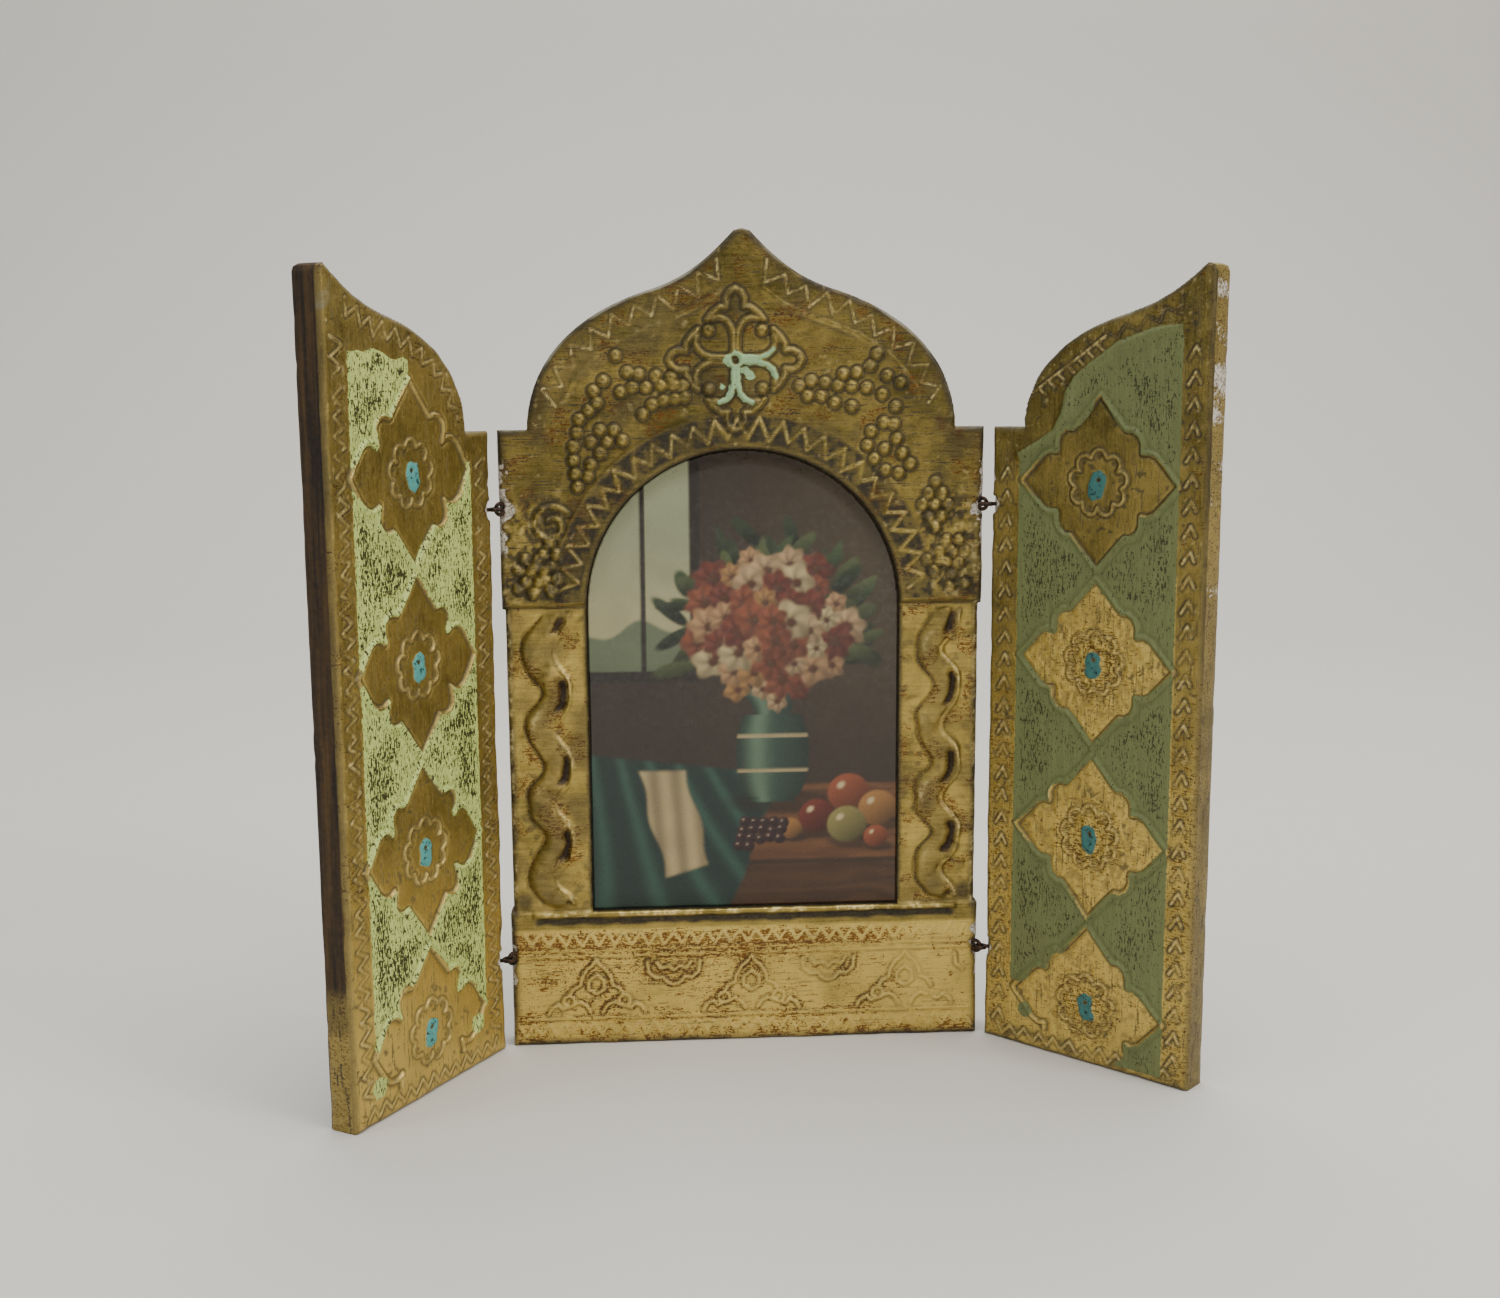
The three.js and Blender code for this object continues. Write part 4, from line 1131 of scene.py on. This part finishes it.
def eyePath(turn, upright, place):
    # the wire comes up its shank, goes round the ring, and closes against the shank
    ring, out = wire["ring"], wire["ring"] + wire["shank"]
    flat = [(u, 0.0) for u in np.linspace(out, ring + 0.75, 7)]
    flat += [(ring * math.cos(a), ring * math.sin(a))
             for a in np.linspace(math.radians(14), math.radians(346), 30)]
    ahead = Vector((math.cos(turn), math.sin(turn), 0))
    other = Vector((0, 0, 1)) if upright else Vector((-math.sin(turn), math.cos(turn), 0))
    shift = ring if upright else 0.0
    return [tuple(Vector(place) + (ahead * (u + shift) + other * v) / 1000) for u, v in flat]


eyePieces = []
for name, side, fold in (("left", -1, wings["left"]["fold"]), ("right", 1, wings["right"]["fold"])):
    for level, z0 in (("upper", board["hinges"][0]), ("lower", board["hinges"][1])):
        place = (side * board["axisX"] / 1000, -(face + board["axisGap"]) / 1000, z0 / 1000)
        panelTurn = wire["lean"] if side < 0 else math.pi - wire["lean"]
        wingTurn = math.pi - wire["lean"] if side < 0 else wire["lean"]
        for owner, turn, upright, body in (("panel", panelTurn, True, "centre"),
                                           ("wing", wingTurn + fold, False, name + "_wing")):
            piece = sweepWire(name + level.capitalize() + owner.capitalize() + "Eye",
                              eyePath(turn, upright, place))
            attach(piece, body)
            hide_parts(name + "_" + level + "_" + owner + "_eye")
            eyePieces.append(piece)
print("eyes made", len(eyePieces))


def connect(node, links):
    # a node given as a source stands for its mixed colour, or else for its first output
    for key, source in links.items():
        if isinstance(source, bpy.types.Node):
            source = source.outputs[2 if source.bl_idname == "ShaderNodeMix" else 0]
        node.id_data.links.new(source, node.inputs[key])


def addNode(tree, kind, settings=None, links=None):
    node = tree.nodes.new("ShaderNode" + kind)
    for key, value in (settings or {}).items():
        if isinstance(key, int) or key in node.inputs:
            node.inputs[key].default_value = value
        else:
            setattr(node, key, value)
    connect(node, links or {})
    return node


def step(low, high, top=1.0):
    return {"interpolation_type": "SMOOTHSTEP", "From Min": low, "From Max": high, "To Max": top}


def newMaterial(name):
    material = bpy.data.materials.new(name)
    material.use_nodes = True
    return material, material.node_tree, material.node_tree.nodes["Principled BSDF"]


# Water-gilt leaf over red bole on gesso, toned with an umber glaze that stays in the hollows: a warm broken
# gold, dark in the punched work and rubbed bright on its ridges. The same umber also paints shade round the
# picture's opening and under the sill, the bright ridges carry painted highlights, and the leaf's tone
# carries painted light, lighter low down and darker at the top. The fields between are brushed with egg
# tempera.
# Lengths are in millimetres.
gilding = {
    "deepGold": "#61562a",
    "litGold": "#d3b865",
    "rubbedAndHighlitGold": "#e8d390",
    # the umber is the glaze's colour, and is used too for painted shade
    "umber": "#1a1409",
    "bareGround": "#7d7966",
    "darkWood": "#1f1408",
    "woodGrain": "#4f3917",
    "gesso": "#d3cdc1",
    "grime": "#6e5a41",
    "enamelSpeck": "#12302f",
    "fleckWidth": 0.3,
    "fleckLength": 1.3,
    "sweep": (7.0, 0.5),
    "timber": (0.9, 26.0, 1.0),
    "speck": 0.75,
    "fine": 0.42,
    "grain": 0.2,
    "blotch": 6.0,
}


def gildedMaterial(name, finish):
    material, tree, shader = newMaterial(name)
    read = {key: addNode(tree, "Attribute", {"attribute_name": key}).outputs["Fac"]
            for key in ("paint", "dot", "dark", "rise", "bright", "bole", "chip", "streak", "fleck", "bare",
                        "wood")}
    place = addNode(tree, "Attribute", {"attribute_name": "boardPlace"}).outputs["Vector"]
    long, thin = gilding["sweep"]
    length, width = gilding["fleckLength"], gilding["fleckWidth"]
    noise = {}
    for key, size, detail in (("up", (width, length, 1), 2.0),
                              ("along", (length * 1.3, width * 0.9, 1), 2.0),
                              ("sweep", (long, thin, 1) if finish["sweepsAcross"] else (thin, long, 1), 3.0),
                              ("timber", gilding["timber"], 3.0),
                              ("speck", (gilding["speck"],) * 3, 3.0),
                              ("fine", (gilding["fine"],) * 3, 2.0),
                              ("grain", (gilding["grain"],) * 3, 1.0),
                              ("blotch", (gilding["blotch"],) * 3, 3.0)):
        scaled = addNode(tree, "VectorMath", {"operation": "MULTIPLY", 1: tuple(1 / s for s in size)},
                         {0: place})
        noise[key] = addNode(tree, "TexNoise", {"Scale": 1.0, "Detail": detail, "Roughness": 0.6},
                             {"Vector": scaled})

    # values with shares of the noises added to them
    mixed = {}
    for key, value, shares in (("tone", read["bright"], {"blotch": 0.8, "sweep": 0.8, "fine": 0.5}),
                               ("streaks", noise["sweep"], {"fine": 0.35}),
                               ("painted", read["paint"], {"speck": 0.9}),
                               ("flecks", noise["up"], {"fine": 0.45, "along": 0.25}),
                               ("timber", noise["timber"], {"up": 0.3}),
                               ("ground", read["bare"], {"blotch": 0.8}),
                               ("broken", read["chip"], {"speck": 0.9}),
                               ("relief", noise["grain"], {"up": 0.6, "along": 0.5})):
        for other, share in shares.items():
            value = addNode(tree, "Math", {"operation": "MULTIPLY_ADD", 1: share},
                            {0: noise[other], 2: value})
        mixed[key] = value

    # gold, from deep to bright, broken by blotches, brush sweeps and grain
    tone = addNode(tree, "MapRange", {"From Min": 0.95, "From Max": 1.98}, {"Value": mixed["tone"]})
    gold = addNode(tree, "Mix", {"data_type": "RGBA", 6: linear(gilding["deepGold"]),
                                 7: linear(gilding["litGold"])},
                   {0: tone})

    # bole and brown where the leaf has rubbed through in short hatches
    boleWear = addNode(tree, "Math", {"operation": "MAXIMUM"}, {0: noise["along"], 1: noise["fine"]})
    boleWear = addNode(tree, "Math", {"operation": "MULTIPLY_ADD", 1: 0.25}, {0: read["bole"], 2: boleWear})
    boleWear = addNode(tree, "MapRange", step(0.72, 0.8, 0.9), {"Value": boleWear})

    # umber glaze in hollows and in brushed streaks, with painted shade where the dark field holds it, and
    # leaf rubbed bright on the ridges with painted highlights
    streaks = addNode(tree, "MapRange", step(0.7, 0.86, 0.85), {"Value": mixed["streaks"]})
    streaks = addNode(tree, "Math", {"operation": "MULTIPLY"}, {0: streaks, 1: read["streak"]})
    darkGlazeAndShade = addNode(tree, "Math", {"operation": "MULTIPLY_ADD", 1: 0.5, 2: 0.66}, {0: noise["speck"]})
    darkGlazeAndShade = addNode(tree, "Math", {"operation": "MULTIPLY", "use_clamp": True}, {0: darkGlazeAndShade, 1: read["dark"]})
    glazeAndShade = addNode(tree, "Math", {"operation": "MAXIMUM"}, {0: streaks, 1: darkGlazeAndShade})
    rubbedAndHighlit = addNode(tree, "MapRange", {"From Min": 0.36, "From Max": 0.6}, {"Value": noise["speck"]})
    rubbedAndHighlit = addNode(tree, "Math", {"operation": "MULTIPLY"}, {0: rubbedAndHighlit, 1: read["rise"]})
    for cover, code in ((boleWear, finish["bole"]), (glazeAndShade, gilding["umber"]),
                        (rubbedAndHighlit, gilding["rubbedAndHighlitGold"])):
        gold = addNode(tree, "Mix", {"data_type": "RGBA", 7: linear(code)}, {0: cover, 6: gold})

    # tempera, with dry-brush flecks where the glaze caught
    painted = addNode(tree, "MapRange", step(0.38, 0.6), {"Value": mixed["painted"]})
    flecks = addNode(tree, "Math", {"operation": "MULTIPLY_ADD", 1: 0.13},
                     {0: read["fleck"], 2: mixed["flecks"]})
    flecks = addNode(tree, "MapRange", step(finish["fleckFrom"], finish["fleckFrom"] + 0.07),
                     {"Value": flecks})
    brush = addNode(tree, "MapRange", {"From Min": 0.3, "From Max": 0.7, "To Min": 0.84, "To Max": 1.1},
                    {"Value": noise["sweep"]})
    tempera = addNode(tree, "VectorMath", {"operation": "SCALE", 0: linear(finish["paint"])[:3]},
                      {"Scale": brush})
    tempera = addNode(tree, "Mix", {"data_type": "RGBA", 7: linear(finish["fleck"])}, {0: flecks, 6: tempera})

    # toned wood with upright grain, and the bare greyish ground along the top edges
    grainLine = addNode(tree, "MapRange", {"From Min": 0.5, "From Max": 0.85}, {"Value": mixed["timber"]})
    timber = addNode(tree, "Mix", {"data_type": "RGBA", 6: linear(gilding["darkWood"]),
                                   7: linear(gilding["woodGrain"])},
                     {0: grainLine})
    ground = addNode(tree, "MapRange", step(0.75, 1.15), {"Value": mixed["ground"]})
    soil = addNode(tree, "RGB")
    soil.outputs[0].default_value = linear(gilding["bareGround"])

    # enamel drop with dark specks, and bare gesso at the knocks
    drop = addNode(tree, "MapRange", step(-0.05, 0.2), {"Value": read["dot"]})
    pits = addNode(tree, "MapRange", step(0.56, 0.64), {"Value": noise["speck"]})
    enamel = addNode(tree, "Mix", {"data_type": "RGBA", 6: linear(finish["enamel"]),
                                   7: linear(gilding["enamelSpeck"])},
                     {0: pits})
    broken = addNode(tree, "MapRange", step(0.86, 1.06), {"Value": mixed["broken"]})
    soiled = addNode(tree, "MapRange", {"From Min": 0.44, "From Max": 0.66}, {"Value": noise["fine"]})
    gesso = addNode(tree, "Mix", {"data_type": "RGBA", 6: linear(gilding["gesso"]),
                                  7: linear(gilding["grime"])},
                    {0: soiled})

    # one coat over the other, and metal only where there is leaf alone
    colour = gold
    for cover, coat in ((painted, tempera), (read["wood"], timber), (ground, soil), (drop, enamel),
                        (broken, gesso)):
        colour = addNode(tree, "Mix", {"data_type": "RGBA"}, {0: cover, 6: colour, 7: coat})
    cover = painted
    for other in (drop, broken, glazeAndShade, read["wood"], ground):
        cover = addNode(tree, "Math", {"operation": "MAXIMUM"}, {0: cover, 1: other})
    metal = addNode(tree, "MapRange", {"To Min": 0.88, "To Max": 0.02}, {"Value": cover})
    rough = addNode(tree, "Math", {"operation": "MULTIPLY_ADD", 1: 0.35, 2: 0.2}, {0: noise["speck"]})
    for layer in (cover, read["wood"]):
        rough = addNode(tree, "Math", {"operation": "MULTIPLY_ADD", 1: 0.22}, {0: layer, 2: rough})
    bump = addNode(tree, "Bump", {"Strength": 0.5, "Distance": 0.00014}, {"Height": mixed["relief"]})
    connect(shader, {"Base Color": colour, "Metallic": metal, "Roughness": rough, "Normal": bump})
    return material


# A colour print on card, varnished: soft colours under a thin warm gloss, slightly scuffed.
def printMaterial():
    material, tree, shader = newMaterial("varnishedPrint")
    inks = {key: addNode(tree, "Attribute", {"attribute_name": "ink" + key}).outputs["Fac"]
            for key in ("Red", "Green", "Blue")}
    colour = addNode(tree, "CombineColor", {}, inks)
    place = addNode(tree, "Attribute", {"attribute_name": "boardPlace"}).outputs["Vector"]
    scuffs = addNode(tree, "TexNoise", {"Scale": 0.9, "Detail": 4.0}, {"Vector": place})
    rough = addNode(tree, "MapRange", {"From Min": 0.3, "From Max": 0.7, "To Min": 0.24, "To Max": 0.4},
                    {"Value": scuffs})
    tooth = addNode(tree, "TexNoise", {"Scale": 4.0, "Detail": 2.0}, {"Vector": place})
    bump = addNode(tree, "Bump", {"Strength": 0.05, "Distance": 0.00004}, {"Height": tooth})
    shader.inputs["IOR"].default_value = 1.48
    connect(shader, {"Base Color": colour, "Roughness": rough, "Normal": bump})
    return material


# Drawn iron wire, oxidised: nearly black with brown rust and a dull shine where the eyes rub.
def wireMaterial():
    material, tree, shader = newMaterial("oxidisedIronWire")
    place = addNode(tree, "TexCoord").outputs["Object"]
    rust = addNode(tree, "TexNoise", {"Scale": 1400.0, "Detail": 4.0}, {"Vector": place})
    patch = addNode(tree, "MapRange", {"From Min": 0.42, "From Max": 0.62}, {"Value": rust})
    colour = addNode(tree, "Mix", {"data_type": "RGBA", 6: linear("#25211d"), 7: linear("#4c3220")},
                     {0: patch})
    metal = addNode(tree, "MapRange", {"To Min": 0.85, "To Max": 0.2}, {"Value": patch})
    rough = addNode(tree, "MapRange", {"To Min": 0.45, "To Max": 0.8}, {"Value": patch})
    bump = addNode(tree, "Bump", {"Strength": 0.4, "Distance": 0.0001}, {"Height": rust})
    connect(shader, {"Base Color": colour, "Metallic": metal, "Roughness": rough, "Normal": bump})
    return material


for piece, name, finish in (
        (centrePiece, "agedGiltGesso",
         {"paint": "#9fc491", "fleck": "#3b3a1c", "fleckFrom": 1.3, "bole": "#6c3f1c", "enamel": "#4b9ca1",
          "sweepsAcross": True}),
        (leftPiece, "mintTemperaOnGilding",
         {"paint": "#c2d277", "fleck": "#35310f", "fleckFrom": 0.9, "bole": "#5b3a16", "enamel": "#529f9b",
          "sweepsAcross": False}),
        (rightPiece, "sageTemperaOnGilding",
         {"paint": "#707847", "fleck": "#353818", "fleckFrom": 0.985, "bole": "#664416", "enamel": "#36706c",
          "sweepsAcross": False})):
    piece.data.materials.append(gildedMaterial(name, finish))
picturePiece.data.materials.append(printMaterial())
iron = wireMaterial()
for piece in eyePieces:
    piece.data.materials.append(iron)
print("materials set")


# camera, light and setting

camera = {
    "place": (-0.021151, -0.337572, 0.134069),
    "yaw": 0.0664214,
    "pitch": 0.1613964,
    "roll": 0.0063032,
    "lens": 42.0,
}


def addCamera():
    yaw, pitch, roll = camera["yaw"], camera["pitch"], camera["roll"]
    forward = Vector((math.sin(yaw) * math.cos(pitch), math.cos(yaw) * math.cos(pitch), -math.sin(pitch)))
    right = Vector((math.cos(yaw), -math.sin(yaw), 0))
    down = forward.cross(right)
    c, s = math.cos(roll), math.sin(roll)
    right, down = c * right + s * down, -s * right + c * down
    data = bpy.data.cameras.new("camera")
    data.lens = camera["lens"]
    data.sensor_width = 36.0
    item = bpy.data.objects.new("camera", data)
    axes = Matrix((right, -down, -forward)).transposed()
    item.matrix_world = Matrix.Translation(camera["place"]) @ axes.to_4x4()
    bpy.context.scene.collection.objects.link(item)
    bpy.context.scene.camera = item


addCamera()


def areaLight(name, place, aim, size, power, colour):
    data = bpy.data.lights.new(name, "AREA")
    data.shape = "RECTANGLE"
    data.size, data.size_y = size
    data.energy = power
    data.color = linear(colour)[:3]
    item = bpy.data.objects.new(name, data)
    item.location = place
    item.rotation_euler = (Vector(aim) - Vector(place)).to_track_quat("-Z", "Y").to_euler()
    bpy.context.scene.collection.objects.link(item)


# where each light stands, what it aims at, how wide it is, its watts and its colour
lights = {
    "overhead": ((0.1, 0.05, 1.15), (0, 0.05, 0), (1.4, 1.0), 20.0, "#fffefb"),
    "key": ((0.85, -0.6, 0.7), (-0.02, 0, 0.08), (0.4, 0.4), 6.0, "#fff9f0"),
    "tableBounce": ((0.0, -0.45, 0.03), (0, 0, 0.03), (0.7, 0.12), 0.5, "#fffaf0"),
    "fill": ((-0.95, -0.45, 0.6), (0, 0, 0.08), (0.5, 0.5), 2.4, "#f3f6ff"),
}
for name, setting in lights.items():
    areaLight(name, *setting)

world = bpy.data.worlds.new("room")
world.use_nodes = True
background = world.node_tree.nodes["Background"]
background.inputs["Color"].default_value = linear("#c9cacb")
background.inputs["Strength"].default_value = 0.22
bpy.context.scene.world = world


def addFloor():
    width, front, back, bend, top = 2.4, -0.6, 0.5, 0.35, 1.4
    profile = [(front, 0.0), (back, 0.0)]
    profile += [(back + bend * math.sin(a), bend * (1 - math.cos(a)))
                for a in np.linspace(0.1, math.pi / 2, 14)]
    profile += [(back + bend, top)]
    vertices = [(x, y, z) for y, z in profile for x in (-width, width)]
    quads = [(2 * i, 2 * i + 1, 2 * i + 3, 2 * i + 2) for i in range(len(profile) - 1)]
    mesh = bpy.data.meshes.new("floor")
    mesh.from_pydata(vertices, [], quads)
    mesh.polygons.foreach_set("use_smooth", [True] * len(quads))
    item = bpy.data.objects.new("floor", mesh)
    bpy.context.scene.collection.objects.link(item)
    material, _, shader = newMaterial("paleFloor")
    shader.inputs["Base Color"].default_value = linear("#d4d1cb")
    shader.inputs["Roughness"].default_value = 0.8
    mesh.materials.append(material)


addFloor()
print("scene set")
